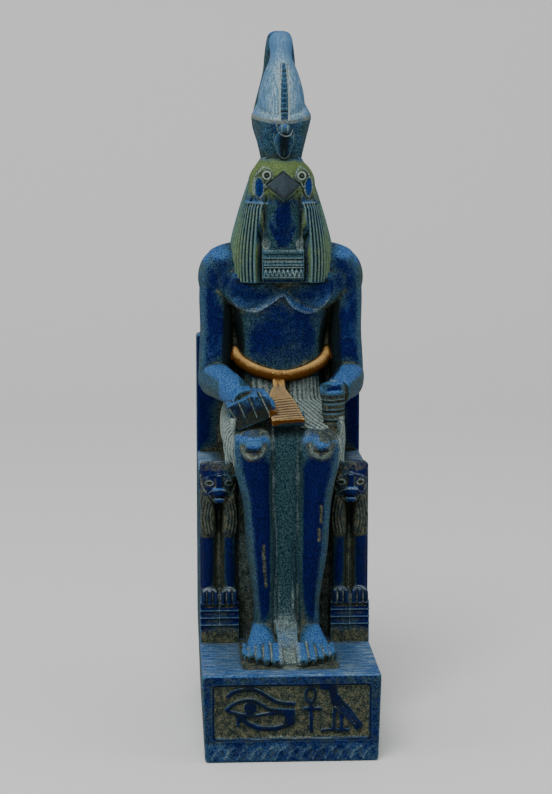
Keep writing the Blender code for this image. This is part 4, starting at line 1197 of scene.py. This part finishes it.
def model_panel_figures(bm):
    """The falcon's eye amulet, a looped cross and a standing bird with a long folded wing."""
    stroke(bm, [
        (0.087, 0.77), (0.134, 0.87), (0.213, 0.91), (0.277, 0.895), (0.34, 0.79), (0.411, 0.68),
        (0.522, 0.64),
    ], 0.032)
    stroke(bm, [
        (0.079, 0.55), (0.134, 0.655), (0.206, 0.725), (0.261, 0.715), (0.308, 0.635), (0.372, 0.55),
        (0.522, 0.52),
    ], 0.026)
    stroke(bm, [
        (0.079, 0.55), (0.158, 0.475), (0.245, 0.435), (0.308, 0.455), (0.372, 0.475), (0.522, 0.485),
    ], 0.026)
    stroke(bm, [
        (0.166, 0.455), (0.213, 0.318), (0.277, 0.227), (0.34, 0.2), (0.411, 0.216), (0.482, 0.273),
        (0.515, 0.35),
    ], 0.038)
    stroke(bm, [(0.15, 0.477), (0.158, 0.4), (0.162, 0.24)], 0.04, 0.5)
    stroke(bm, [(0.45, 0.385), (0.519, 0.385)], 0.085)
    blob(bm, on_panel(0.237, 0.58), (3.1, 1.2, 3.1))
    loop = [(0.618 + 0.031 * sin(2 * pi * k / 16), 0.81 - 0.135 * cos(2 * pi * k / 16)) for k in range(17)]
    stroke(bm, loop, 0.024)
    stroke(bm, [(0.569, 0.557), (0.688, 0.55)], 0.028)
    stroke(bm, [(0.62, 0.67), (0.624, 0.114)], 0.03)
    stroke(bm, [(0.676, 0.935), (0.765, 0.94)], 0.034)
    stroke(bm, [(0.76, 0.945), (0.762, 0.82), (0.774, 0.7)], 0.064)
    stroke(bm, [(0.768, 0.74), (0.8, 0.63), (0.845, 0.5), (0.888, 0.35), (0.932, 0.19)], 0.096, 0.7)
    stroke(bm, [(0.772, 0.62), (0.767, 0.4), (0.766, 0.17)], 0.026)
    stroke(bm, [(0.792, 0.56), (0.812, 0.4), (0.816, 0.17)], 0.026)
    stroke(bm, [(0.685, 0.162), (0.77, 0.165)], 0.022)
    stroke(bm, [(0.785, 0.162), (0.868, 0.162)], 0.022)


def cut_block(name, low, high, rounding, cutters, taper=0.0):
    """A block with sunk panels cut in it, as a fresh bmesh."""
    bm = bmesh.new()
    block(bm, low, high, rounding, taper)
    body = as_object(name, bm)
    helpers = []
    for k, (cut_low, cut_high, cut_rounding) in enumerate(cutters):
        cutter = bmesh.new()
        block(cutter, cut_low, cut_high, cut_rounding)
        helper = as_object(f"{name}_cut_{k}", cutter)
        helpers.append(helper)
        sink = body.modifiers.new(f"sink {k}", "BOOLEAN")
        sink.operation = "DIFFERENCE"
        sink.solver = "EXACT"
        sink.object = helper
    settle(body)
    found = bmesh.new()
    found.from_mesh(body.data)
    for helper in [body, *helpers]:
        mesh = helper.data
        bpy.data.objects.remove(helper)
        bpy.data.meshes.remove(mesh)
    return found


class Socket:
    """A shader value. Arithmetic on it adds Math nodes."""

    def __init__(self, finish, socket):
        self.finish = finish
        self.socket = socket

    def math(self, operation, *others):
        values = dict(enumerate((self, *others)))
        return self.finish.node("ShaderNodeMath", {"operation": operation}, values)

    def __add__(self, other):
        return self.math("ADD", other)

    __radd__ = __add__

    def __mul__(self, other):
        return self.math("MULTIPLY", other)

    __rmul__ = __mul__

    def __sub__(self, other):
        return self.math("SUBTRACT", other)

    def __rsub__(self, other):
        return self.finish.node("ShaderNodeMath", {"operation": "SUBTRACT"}, {0: other, 1: self})

    def __abs__(self):
        return self.math("ABSOLUTE")

    def over(self, low, high):
        """Rises smoothly from 0 at low to 1 at high."""
        values = {"Value": self, "From Min": low, "From Max": high, "To Min": 0.0, "To Max": 1.0}
        return self.finish.node("ShaderNodeMapRange", {"interpolation_type": "SMOOTHSTEP"}, values)

    def under(self, low, high):
        """Falls smoothly from 1 at low to 0 at high."""
        values = {"Value": self, "From Min": low, "From Max": high, "To Min": 1.0, "To Max": 0.0}
        return self.finish.node("ShaderNodeMapRange", {"interpolation_type": "SMOOTHSTEP"}, values)


class Finish:
    """One material and the nodes that paint it."""

    def __init__(self, name):
        self.material = bpy.data.materials.new(name)
        self.material.use_nodes = True
        self.tree = self.material.node_tree
        self.shader = self.tree.nodes["Principled BSDF"]
        self.shader.inputs["Specular IOR Level"].default_value = 0.04
        coordinates = self.node("ShaderNodeTexCoord", output="Object")
        moved = self.node("ShaderNodeVectorMath", {"operation": "SUBTRACT"}, {
            0: coordinates, 1: (0, BACK_FACE * MM, PLINTH_TOP * MM)})
        self.spot = self.node("ShaderNodeVectorMath", {"operation": "SCALE"}, {0: moved, "Scale": 1 / MM})
        self.x, self.y, self.z = self.parts(self.spot)
        self.facing = [self.attribute(name) for name in FACINGS]

    def node(self, kind, settings=None, values=None, output=0):
        """Adds a node with its settings, then its socket values or links, and gives one of its outputs."""
        made = self.tree.nodes.new(kind)
        for name, setting in (settings or {}).items():
            setattr(made, name, setting)
        for name, value in (values or {}).items():
            if isinstance(value, Socket):
                self.tree.links.new(value.socket, made.inputs[name])
            else:
                made.inputs[name].default_value = value
        return Socket(self, made.outputs[output])

    def parts(self, vector):
        made = [self.node("ShaderNodeSeparateXYZ", values={"Vector": vector}, output=k) for k in range(3)]
        return made

    def attribute(self, name):
        return self.node("ShaderNodeAttribute", {"attribute_name": name}, output="Fac")

    def noise(self, size, detail=2.0, stretch=(1, 1, 1), shift=0.0, rough=0.6):
        """Cloudy variation from 0 to 1 with features about size millimetres across."""
        vector = self.node("ShaderNodeVectorMath", {"operation": "MULTIPLY_ADD"}, {
            0: self.spot, 1: tuple(1 / s for s in stretch), 2: (shift, shift * 0.7, -shift)})
        values = {"Vector": vector, "Scale": 1 / size, "Detail": detail, "Roughness": rough}
        return self.node("ShaderNodeTexNoise", values=values)

    def pair(self, dark, light):
        """Two colours in fine specks."""
        return self.mix(dark, light, self.fine)

    def mix(self, first, second, mask):
        """Second colour over first by a mask."""
        settings = {"data_type": "RGBA", "clamp_factor": True}
        made = {0: mask, 6: self.colour(first), 7: self.colour(second)}
        return self.node("ShaderNodeMix", settings, made, output=2)

    def colour(self, value):
        return value if isinstance(value, Socket) else (*value, 1.0)

    def within(self, centre, radii, soft=0.2):
        """1 inside an ellipsoid, 0 outside it."""
        away = self.node("ShaderNodeVectorMath", {"operation": "SUBTRACT"}, {0: self.spot, 1: centre})
        scaled = self.node("ShaderNodeVectorMath", {"operation": "DIVIDE"}, {0: away, 1: radii})
        distance = self.node("ShaderNodeVectorMath", {"operation": "LENGTH"}, {0: scaled}, output="Value")
        return distance.under(1 - soft, 1 + soft)

    def band(self, value, low, high, soft=0.5):
        """1 between two bounds."""
        return value.over(low - soft, low + soft) * value.under(high - soft, high + soft)

    def paint(self, colour):
        self.tree.links.new(colour.socket, self.shader.inputs["Base Color"])

    def roughen(self, value):
        self.tree.links.new(value.socket, self.shader.inputs["Roughness"])

    def bump(self, height, distance, strength=1.0):
        """Lets a height field in millimetres shade the surface."""
        normal = self.node("ShaderNodeBump", values={
            "Height": height, "Distance": distance * MM, "Strength": strength}, output="Normal")
        self.tree.links.new(normal.socket, self.shader.inputs["Normal"])


def patina(name, lift=0.0):
    """Navy in the middle of forms, lighter speckled blue on what turns away, and a brighter blue on what
    faces up as painted top light.
    """
    colours = bpy.context.scene.patina_colours
    finish = Finish(name)
    for channel in ("groove", "hollow", "crowding", *CHANNELS):
        setattr(finish, channel, finish.attribute(channel))
    finish.cloud = finish.noise(13.0, 2.0)
    finish.mottle = finish.noise(2.6, 3.0, shift=31.0)
    finish.grit = finish.noise(1.0, 2.0, shift=53.0, rough=0.7)
    finish.fine = finish.noise(0.6, 2.0, shift=7.0, rough=0.8).over(0.42, 0.58)
    finish.fleck = finish.noise(0.8, 2.0, shift=71.0, rough=0.7)
    finish.uneven = (finish.mottle - 0.5) * 0.8 + (finish.grit - 0.5) * 0.55 + (finish.cloud - 0.5) * 1.1
    front = finish.facing[1] * -1.0
    turned = (front.under(0.5, 1.0) + finish.uneven * 0.9 + lift - finish.navy).over(-0.05, 1.0)
    # Painted top light: what faces up takes the brighter blue, as if lit from above; the bright channel lays
    # the same blue.
    lit = finish.facing[2].over(0.15, 0.8) + finish.bright - finish.navy * 0.7
    raised = (lit + finish.uneven * 0.6).over(0.15, 0.85)
    deep = finish.pair(colours.deep, colours.deep_light)
    flank = finish.pair(colours.flank, colours.flank_light)
    greener = (finish.mottle + finish.cloud * 0.6).over(0.66, 0.92) * 0.7
    flank = finish.mix(flank, finish.pair(colours.teal, colours.teal_light), greener)
    flank = finish.mix(flank, colours.olive_light, front.under(0.2, 0.8) * finish.cloud.over(0.3, 0.7) * 0.5)
    flank = finish.mix(flank, colours.leaf_light, finish.fleck.over(0.58, 0.7) * 0.3)
    blue = finish.mix(deep, flank, turned)
    finish.blue = finish.mix(blue, finish.pair(colours.top, colours.top_light), raised)
    return finish


def washed(finish, colour, wash=1.0):
    """Teal and olive patina where forms crowd, dark enough to stand in for their shade too, near black
    painted shade in the grooves, then the paint of each channel, whose near black one also lays painted
    shadows.
    """
    colours = bpy.context.scene.patina_colours
    uneven = finish.uneven
    near = finish.crowding + uneven * 0.12
    teal = finish.pair(colours.teal, colours.teal_light)
    olive = finish.pair(colours.olive, colours.olive_light)
    olive = finish.mix(olive, colours.tan, (finish.mottle + finish.grit * 0.6).over(0.7, 1.1) * 0.26)
    olive = finish.mix(olive, colours.night, (finish.mottle + finish.cloud * 0.4).under(0.52, 0.8) * 0.5)
    # Teal and olive patina where forms crowd; they are dark, so they also paint in the shade of those crowded
    # places.
    colour = finish.mix(colour, teal, near.over(0.28, 0.4) * 0.75 * wash)
    settled = (finish.hollow + uneven * 0.2).over(0.56, 0.8).math("MAXIMUM", near.over(0.39, 0.57)) * wash
    settled = settled.math("MAXIMUM", (finish.earth + uneven * 0.5).over(0.25, 0.75))
    colour = finish.mix(colour, olive, settled * 0.9)
    leaf = finish.mix(colours.leaf, colours.leaf_light, finish.fine * 0.55 + finish.mottle * 0.45)
    colour = finish.mix(colour, leaf, (finish.leaf + uneven * 0.4).over(0.25, 0.75))
    colour = finish.mix(colour, teal, (finish.sea + uneven * 0.5).over(0.25, 0.75))
    edge = uneven * 0.25
    worn = (finish.groove + edge).under(-0.1, 0.3).math("MAXIMUM", (finish.hollow + edge).under(-0.1, 0.2))
    colour = finish.mix(colour, colours.flank_light, worn * (1.0 - finish.navy * 0.75) * 0.6)
    # Painted shade: near black in the fine grooves, together with the near black channel's dark paint and
    # painted shadows.
    inked_and_shaded = (finish.ink + uneven * 0.5).over(0.25, 0.8)
    dark = (finish.groove + uneven * 0.2).over(0.7, 1.2).math("MAXIMUM", inked_and_shaded)
    colour = finish.mix(colour, colours.night, dark * 0.9)
    chalk = finish.pair(colours.pale, colours.pale_light)
    chalk = finish.mix(chalk, colours.pale_light, finish.chalk.over(0.6, 1.0) * 0.7)
    colour = finish.mix(colour, chalk, (finish.chalk + uneven * 0.5).over(0.2, 0.8) * 0.9)
    gilt = finish.mix(gilding(finish), colours.pale, finish.chalk.over(0.64, 0.7) * 0.34)
    return finish.mix(colour, gilt, (finish.gold + uneven * 0.2).over(0.35, 0.65))


def gilding(finish):
    """Brown gold, lighter on the rubbed ridges, and lighter where it faces up as a painted highlight."""
    colours = bpy.context.scene.patina_colours
    # Wear on the ridges, and a painted highlight on what faces up.
    rubbed_and_highlit = finish.facing[2] * 0.72 + (0.5 - finish.groove) * 0.9 + finish.uneven * 0.5 + finish.fine * 0.14
    return finish.mix(colours.gilt, colours.gilt_light, rubbed_and_highlit.over(0.2, 1.25))


def close(finish, colour, piece):
    """Connects the colour, the grainy bump and the sheen, and gives the piece its finish."""
    finish.paint(colour)
    finish.roughen(0.55 + finish.mottle * 0.2)
    finish.bump(finish.fine * 0.4 + finish.mottle * 0.5, 0.14, 0.6)
    piece.data.materials.clear()
    piece.data.materials.append(finish.material)


class STATUE_OT_carve_plinth(bpy.types.Operator):
    """Plinth with its sunk panel, the figures on it and its leaf border"""

    bl_idname = "statue.carve_plinth"
    bl_label = "Carve plinth"

    def execute(self, context):
        sizes = context.scene.statue_sizes
        left, foot, width, height = PANEL
        front = FRONT - BACK_FACE
        rear = HIGH.y / MM - BACK_FACE
        panel = ((left, front - 3, foot), (left + width, front + 1.4, foot + height), 1.9)
        bm = cut_block("plinth", (-HALF_WIDTH, front, -PLINTH_TOP), (HALF_WIDTH, rear, 0), 1.4, [panel], 1.2)
        model_panel_figures(bm)
        piece = fused("plinth", bm, sizes.head_grain * 1.15)
        skin = Skin(piece)
        self.cut_border(skin)
        self.daub_faces(skin)
        skin.press()
        finished(piece, skin)
        finish = patina("plinth_patina", 0.28)
        close(finish, self.coloured(finish), piece)
        return {"FINISHED"}

    def cut_border(self, skin):
        """Leaning leaves under the panel, a rim round it and feathers on the bird's wing."""
        for k in range(13):
            across = -31 + 5.2 * k
            leaf = [(across - 2.0, -35.2), (across - 0.4, -32.2), (across + 2.2, -30.4)]
            skin.trace(leaf, 0.8, 0.3, depth=(-130, -104), tint=("chalk", 0.35))
            skin.trace(
                [(across + 0.6, -35.4), (across + 2.6, -32.6)], 0.5, -0.2, depth=(-130, -104),
                tint=("ink", 0.45)
            )
        for shift in (-0.02, 0.004, 0.028):
            feather = [
                on_panel(across + shift, up)
                for across, up in ((0.79, 0.6), (0.838, 0.47), (0.9, 0.26))
            ]
            skin.trace([(x, z) for x, _y, z in feather], 0.3, -0.25, depth=(-130, -104), tint=("chalk", 0.45))
        left, foot, width, height = PANEL
        low, high, right = foot - 0.6, foot + height + 0.6, left + width + 0.6
        frame_line = [(left - 0.6, low), (right, low), (right, high), (left - 0.6, high), (left - 0.6, low)]
        skin.trace(frame_line, 0.4, 0.1, depth=(-130, -104.6), tint=("chalk", 0.22))

    def daub_faces(self, skin):
        """Olive round the feet and over the panel's ground, chalk where the ramp runs out."""
        x, y, z = skin.points.T
        top = step(skin.normals[:, 2], 0.5, 0.9)
        away = np.hypot(np.maximum(np.abs(x) - 17.5, 0), np.maximum(np.abs(y + 73) - 21.5, 0))
        skin.daub("earth", top * (1 - step(away, 0.5, 5.5)))
        skin.daub("chalk", top * (1 - step(np.hypot(x / 5, (y + 95) / 5.5), 0.4, 1.2)) * 0.62)
        left, foot, width, height = PANEL
        across = (x > left - 0.2) * (x < left + width + 0.2)
        inside = across * (z > foot - 0.2) * (z < foot + height + 0.2) * (y < -100)
        skin.daub("earth", inside * step(y, PANEL_FLOOR - 0.75, PANEL_FLOOR - 0.35))
        figures = inside * (1 - step(y, PANEL_FLOOR - 0.8, PANEL_FLOOR - 0.5)) * (y > PANEL_FLOOR - 1.38)
        skin.daub("ink", figures * 0.56)
        skin.daub("navy", figures)
        ledge = inside * step(y, PANEL_FLOOR - 0.6, PANEL_FLOOR - 0.3) * (1 - step(z, -26.6, -25))
        skin.daub("chalk", ledge * 0.34)
        skin.daub("bright", (1 - step(z, -29.5, -27.5)) * (y < -100) * 0.3)

    def coloured(self, finish):
        colours = bpy.context.scene.patina_colours
        top = finish.facing[2].over(0.5, 0.9)
        lines = finish.noise(1.0, 3.0, stretch=(10, 1, 1), shift=11.0)
        blue = finish.mix(finish.blue, colours.pale_light, top * lines.over(0.46, 0.68) * 0.6)
        blue = finish.mix(blue, colours.deep, top * lines.under(0.32, 0.47) * 0.7)
        green = (finish.mottle + finish.grit * 0.5).over(0.72, 0.95)
        blue = finish.mix(blue, colours.leaf, green * 0.35)
        return washed(finish, blue, 0.5)


class STATUE_OT_carve_throne(bpy.types.Operator):
    """Block throne with sunk side panels, its back slab and the two lions"""

    bl_idname = "statue.carve_throne"
    bl_label = "Carve throne"

    def execute(self, context):
        sizes = context.scene.statue_sizes
        rear = HIGH.y / MM - BACK_FACE
        border, depth = 5.5, 0.7
        top = SEAT_TOP - border
        square = 0.45 * (top - border)
        cutters = []
        for side in BOTH:
            inner, outer = sorted((side * HALF_WIDTH * 2, side * (HALF_WIDTH - depth)))
            front = SEAT_FRONT + border
            upper = (front, border + square), (rear - border, top)
            lower = (front, border), (rear - border - square, border + square + border)
            for low, high in (upper, lower):
                cutters.append(((inner, *low), (outer, *high), depth))
        bm = cut_block("seat", (-HALF_WIDTH, SEAT_FRONT, -1.4), (HALF_WIDTH, rear, SEAT_TOP), 1.4, cutters)
        half = HALF_WIDTH - border
        panel = ((-half, rear - depth, border), (half, rear + 10, BACK_TOP - border), depth)
        slab_mesh = cut_block("back", (-HALF_WIDTH, 0, -1.4), (HALF_WIDTH, rear, BACK_TOP), 1.4, [panel])
        holder = bpy.data.meshes.new("back")
        slab_mesh.to_mesh(holder)
        slab_mesh.free()
        bm.from_mesh(holder)
        bpy.data.meshes.remove(holder)
        for side in BOTH:
            model_lion(bm, side)
        piece = fused("lion_throne", bm, sizes.body_grain)
        skin = Skin(piece)
        carve_lions(skin)
        x, y, z = skin.points.T
        recess = (np.abs(x) < 21.5) * step(y, -48, -45.5) * (1 - step(y, -43, -41)) * (1 - step(z, 68, 75))
        skin.daub("earth", recess)
        skin.daub("chalk", recess * 0.32)
        skin.daub("sea", recess * 0.45)
        skin.press()
        finished(piece, skin)
        finish = patina("throne_patina", -0.3)
        close(finish, self.coloured(finish), piece)
        return {"FINISHED"}

    def coloured(self, finish):
        colours = bpy.context.scene.patina_colours
        top = finish.facing[2].over(0.5, 0.9)
        lines = finish.noise(1.1, 3.0, stretch=(8, 1, 1), shift=4.0)
        blue = finish.mix(finish.blue, colours.pale_light, top * lines.over(0.4, 0.64) * 0.7)
        blue = finish.mix(blue, colours.deep, top * lines.under(0.3, 0.44) * 0.5)
        green = top * (finish.mottle + finish.grit * 0.4).over(0.72, 0.9)
        blue = finish.mix(blue, colours.leaf_light, green * 0.3)
        return washed(finish, blue)


class STATUE_OT_carve_body(bpy.types.Operator):
    """Body, arms, fists, belt, kilt, apron, legs and feet"""

    bl_idname = "statue.carve_body"
    bl_label = "Carve body"

    def execute(self, context):
        sizes = context.scene.statue_sizes
        bm = bmesh.new()
        model_torso(bm)
        model_belt(bm)
        model_arms(bm)
        model_flat_fist(bm)
        model_upright_fist(bm)
        model_legs(bm)
        model_apron(bm)
        piece = fused("seated_body", bm, sizes.body_grain)
        skin = Skin(piece)
        carve_chest(skin)
        carve_kilt(skin, sizes.pleat_depth / MM)
        carve_hands(skin)
        carve_apron(skin)
        carve_feet(skin)
        carve_knees(skin)
        carve_belt(skin)
        carve_shins(skin)
        shade_recesses(skin)
        skin.press()
        finished(piece, skin)
        finish = patina("body_patina")
        close(finish, self.coloured(finish), piece)
        return {"FINISHED"}

    def coloured(self, finish):
        return washed(finish, finish.blue)


class STATUE_OT_carve_head(bpy.types.Operator):
    """Falcon's head, striped wig and collar"""

    bl_idname = "statue.carve_head"
    bl_label = "Carve head"

    def execute(self, context):
        sizes = context.scene.statue_sizes
        bm = bmesh.new()
        model_wig(bm)
        model_head(bm)
        piece = fused("falcon_head", bm, sizes.head_grain)
        skin = Skin(piece)
        carve_locks(skin, sizes.lock_depth / MM)
        carve_face(skin)
        carve_collar(skin)
        skin.press()
        finished(piece, skin)
        finish = patina("head_patina")
        close(finish, self.coloured(finish), piece)
        return {"FINISHED"}

    def coloured(self, finish):
        colours = bpy.context.scene.patina_colours
        colour = washed(finish, finish.blue, 0.45)
        drop = finish.mix(colours.deep_light, colours.top, finish.fine)
        for centre, radii in (((-10.1, -35, 195.9), (1.8, 6, 4.2)), ((11.1, -34, 196.2), (1.5, 6, 3.8))):
            colour = finish.mix(colour, drop, finish.within(centre, radii) * 0.95)
        away = abs(finish.x) * (1 / 7.7) + abs(finish.z - 197.0) * (1 / 6.4)
        beak = away.under(0.94, 1.04) * finish.y.under(-37.5, -36.5)
        slate = finish.mix(colours.slate, colours.night, finish.mottle.over(0.5, 0.7) * 0.5)
        slate = finish.mix(slate, colours.flank_light, finish.fine * 0.12)
        slate = finish.mix(slate, colours.night, away.over(0.78, 0.96) * 0.6)
        edges = (finish.chalk + finish.uneven * 0.4).over(0.3, 0.8) * 0.4
        return finish.mix(colour, finish.mix(slate, colours.pale_light, edges), beak)


class STATUE_OT_carve_crown(bpy.types.Operator):
    """Double crown with its cobra"""

    bl_idname = "statue.carve_crown"
    bl_label = "Carve crown"

    def execute(self, context):
        sizes = context.scene.statue_sizes
        bm = bmesh.new()
        model_crown(bm)
        piece = fused("double_crown", bm, sizes.head_grain)
        skin = Skin(piece)
        carve_cobra(skin)
        skin.press()
        finished(piece, skin)
        finish = patina("crown_patina", 0.5)
        close(finish, self.coloured(finish), piece)
        return {"FINISHED"}

    def coloured(self, finish):
        colours = bpy.context.scene.patina_colours
        strokes = finish.noise(0.9, 2.0, stretch=(1, 1, 7), shift=17.0)
        ice = finish.pair(colours.ice, colours.ice_light)
        sides = abs(finish.facing[0]).over(0.2, 0.85)
        ice = finish.mix(ice, colours.top_light, sides * (finish.mottle + 0.2).over(0.3, 0.7) * 0.8)
        ice = finish.mix(ice, colours.flank_light, strokes.under(0.42, 0.56) * 0.65)
        ice = finish.mix(ice, colours.pale_light, (finish.mottle + strokes * 0.5).over(0.78, 0.95) * 0.4)
        ice = finish.mix(ice, colours.top_light, finish.z.over(246, 256) * 0.7)
        level = finish.z - finish.x * finish.x * (2.6 / 13.1**2) + 1.6
        tall = level.over(225.5, 226.5) * finish.y.under(-17.5, -16.5)
        off, front = abs(finish.x - 0.8), finish.y.under(-26, -24)
        strip = off.under(1.4, 1.7) * front * finish.z.under(248, 249)
        rim = off.under(2.2, 2.6) * front * finish.z.under(246, 249) * (1.0 - strip)
        colour = finish.mix(washed(finish, finish.blue, 0.8), washed(finish, ice, 0.25), tall * (1.0 - strip))
        colour = finish.mix(colour, colours.pale_light, rim * tall * 0.5)
        green = finish.z.under(207, 216) * (finish.uneven + 0.5).over(0.2, 0.8)
        colour = finish.mix(colour, finish.pair(colours.teal, colours.leaf), green * 0.6)
        ledge = finish.band(level, 224.4, 226.4, 0.4) * (finish.uneven + 0.5).over(0.1, 0.7)
        return finish.mix(colour, finish.mix(colours.pale_light, colours.tan, 0.35), ledge * 0.42)


class STATUE_OT_set_stage(bpy.types.Operator):
    """Pale floor that sweeps up behind, soft lights and the camera"""

    bl_idname = "statue.set_stage"
    bl_label = "Set stage"

    def execute(self, context):
        stage = context.scene.stage_settings
        self.lay_floor(stage)
        self.hang_lights(stage)
        self.set_camera(context, stage)
        return {"FINISHED"}

    def lay_floor(self, stage):
        bm = bmesh.new()
        line = [(-2.2, 0.0), (0.9, 0.0)]
        line += [(0.9 + 0.8 * sin(radians(a)), 0.8 - 0.8 * cos(radians(a))) for a in range(10, 91, 10)]
        line.append((1.7, 3.0))
        corners = [bm.verts.new((-2.6, y, z)) for y, z in line]
        edges = [bm.edges.new(pair) for pair in zip(corners, corners[1:])]
        swept = bmesh.ops.extrude_edge_only(bm, edges=edges)["geom"]
        moved = [part for part in swept if isinstance(part, bmesh.types.BMVert)]
        bmesh.ops.translate(bm, verts=moved, vec=(5.2, 0, 0))
        floor = as_object("floor", bm)
        floor.data.polygons.foreach_set("use_smooth", [True] * len(floor.data.polygons))
        tone = bpy.data.materials.new("floor_paper")
        tone.use_nodes = True
        shader = tone.node_tree.nodes["Principled BSDF"]
        shader.inputs["Base Color"].default_value = (*stage.floor_tone, 1)
        shader.inputs["Roughness"].default_value = 0.9
        floor.data.materials.append(tone)

    def hang_lights(self, stage):
        aim = Vector(LIGHT_AIM)
        lamps = (
            ("overhead", (-0.5, -1.6, 2.3), 1.6, stage.key_power),
            ("left", (-1.3, -0.5, 0.6), 0.7, stage.side_power),
            ("right", (1.3, -0.5, 0.6), 0.7, stage.side_power),
        )
        for name, spot, size, power in lamps:
            lamp = bpy.data.lights.new(name, "AREA")
            lamp.shape = "SQUARE"
            lamp.size = size
            lamp.energy = power
            shown = bpy.data.objects.new(name, lamp)
            shown.location = spot
            shown.rotation_mode = "QUATERNION"
            shown.rotation_quaternion = (Vector(spot) - aim).to_track_quat("Z", "Y")
            bpy.context.scene.collection.objects.link(shown)
        world = bpy.data.worlds.new("studio")
        world.use_nodes = True
        background = world.node_tree.nodes["Background"]
        background.inputs["Color"].default_value = (1.0, 1.0, 1.0, 1)
        background.inputs["Strength"].default_value = stage.world_strength
        bpy.context.scene.world = world

    def set_camera(self, context, stage):
        lens = bpy.data.cameras.new("camera")
        lens.sensor_width = 36.0
        lens.lens = lens.sensor_width * FOCAL_PIXELS / PICTURE_HEIGHT
        lens.clip_start = 0.05
        lens.clip_end = 20.0
        camera = bpy.data.objects.new("camera", lens)
        turn, rise = stage.camera_turn, stage.camera_height
        back = Vector((sin(turn) * cos(rise), -cos(turn) * cos(rise), sin(rise)))
        camera.location = Vector(CAMERA_AIM) + back * stage.camera_distance
        camera.rotation_mode = "QUATERNION"
        camera.rotation_quaternion = back.to_track_quat("Z", "Y")
        context.scene.collection.objects.link(camera)
        context.scene.camera = camera


class STATUE_PT_statue(bpy.types.Panel):
    """Sizes, colours and steps of the statue"""

    bl_idname = "STATUE_PT_statue"
    bl_label = "Seated falcon-headed figure"
    bl_space_type = "VIEW_3D"
    bl_region_type = "UI"
    bl_category = "Statue"

    def draw(self, context):
        scene = context.scene
        for group in (scene.statue_sizes, scene.patina_colours, scene.stage_settings):
            box = self.layout.box()
            for name in type(group).__annotations__:
                box.prop(group, name)
        for operator in OPERATORS:
            self.layout.operator(operator.bl_idname)


OPERATORS = (
    STATUE_OT_set_stage, STATUE_OT_carve_plinth, STATUE_OT_carve_throne, STATUE_OT_carve_body,
    STATUE_OT_carve_head, STATUE_OT_carve_crown,
)
CLASSES = (StatueSizes, PatinaColours, StageSettings, *OPERATORS, STATUE_PT_statue)


def register():
    for kind in CLASSES:
        bpy.utils.register_class(kind)
    bpy.types.Scene.statue_sizes = PointerProperty(type=StatueSizes)
    bpy.types.Scene.patina_colours = PointerProperty(type=PatinaColours)
    bpy.types.Scene.stage_settings = PointerProperty(type=StageSettings)


def unregister():
    del bpy.types.Scene.stage_settings
    del bpy.types.Scene.patina_colours
    del bpy.types.Scene.statue_sizes
    for kind in reversed(CLASSES):
        bpy.utils.unregister_class(kind)


def main():
    register()
    bpy.ops.statue.set_stage()
    bpy.ops.statue.carve_plinth()
    bpy.ops.statue.carve_throne()
    bpy.ops.statue.carve_body()
    bpy.ops.statue.carve_head()
    bpy.ops.statue.carve_crown()


if __name__ == "__main__":
    main()
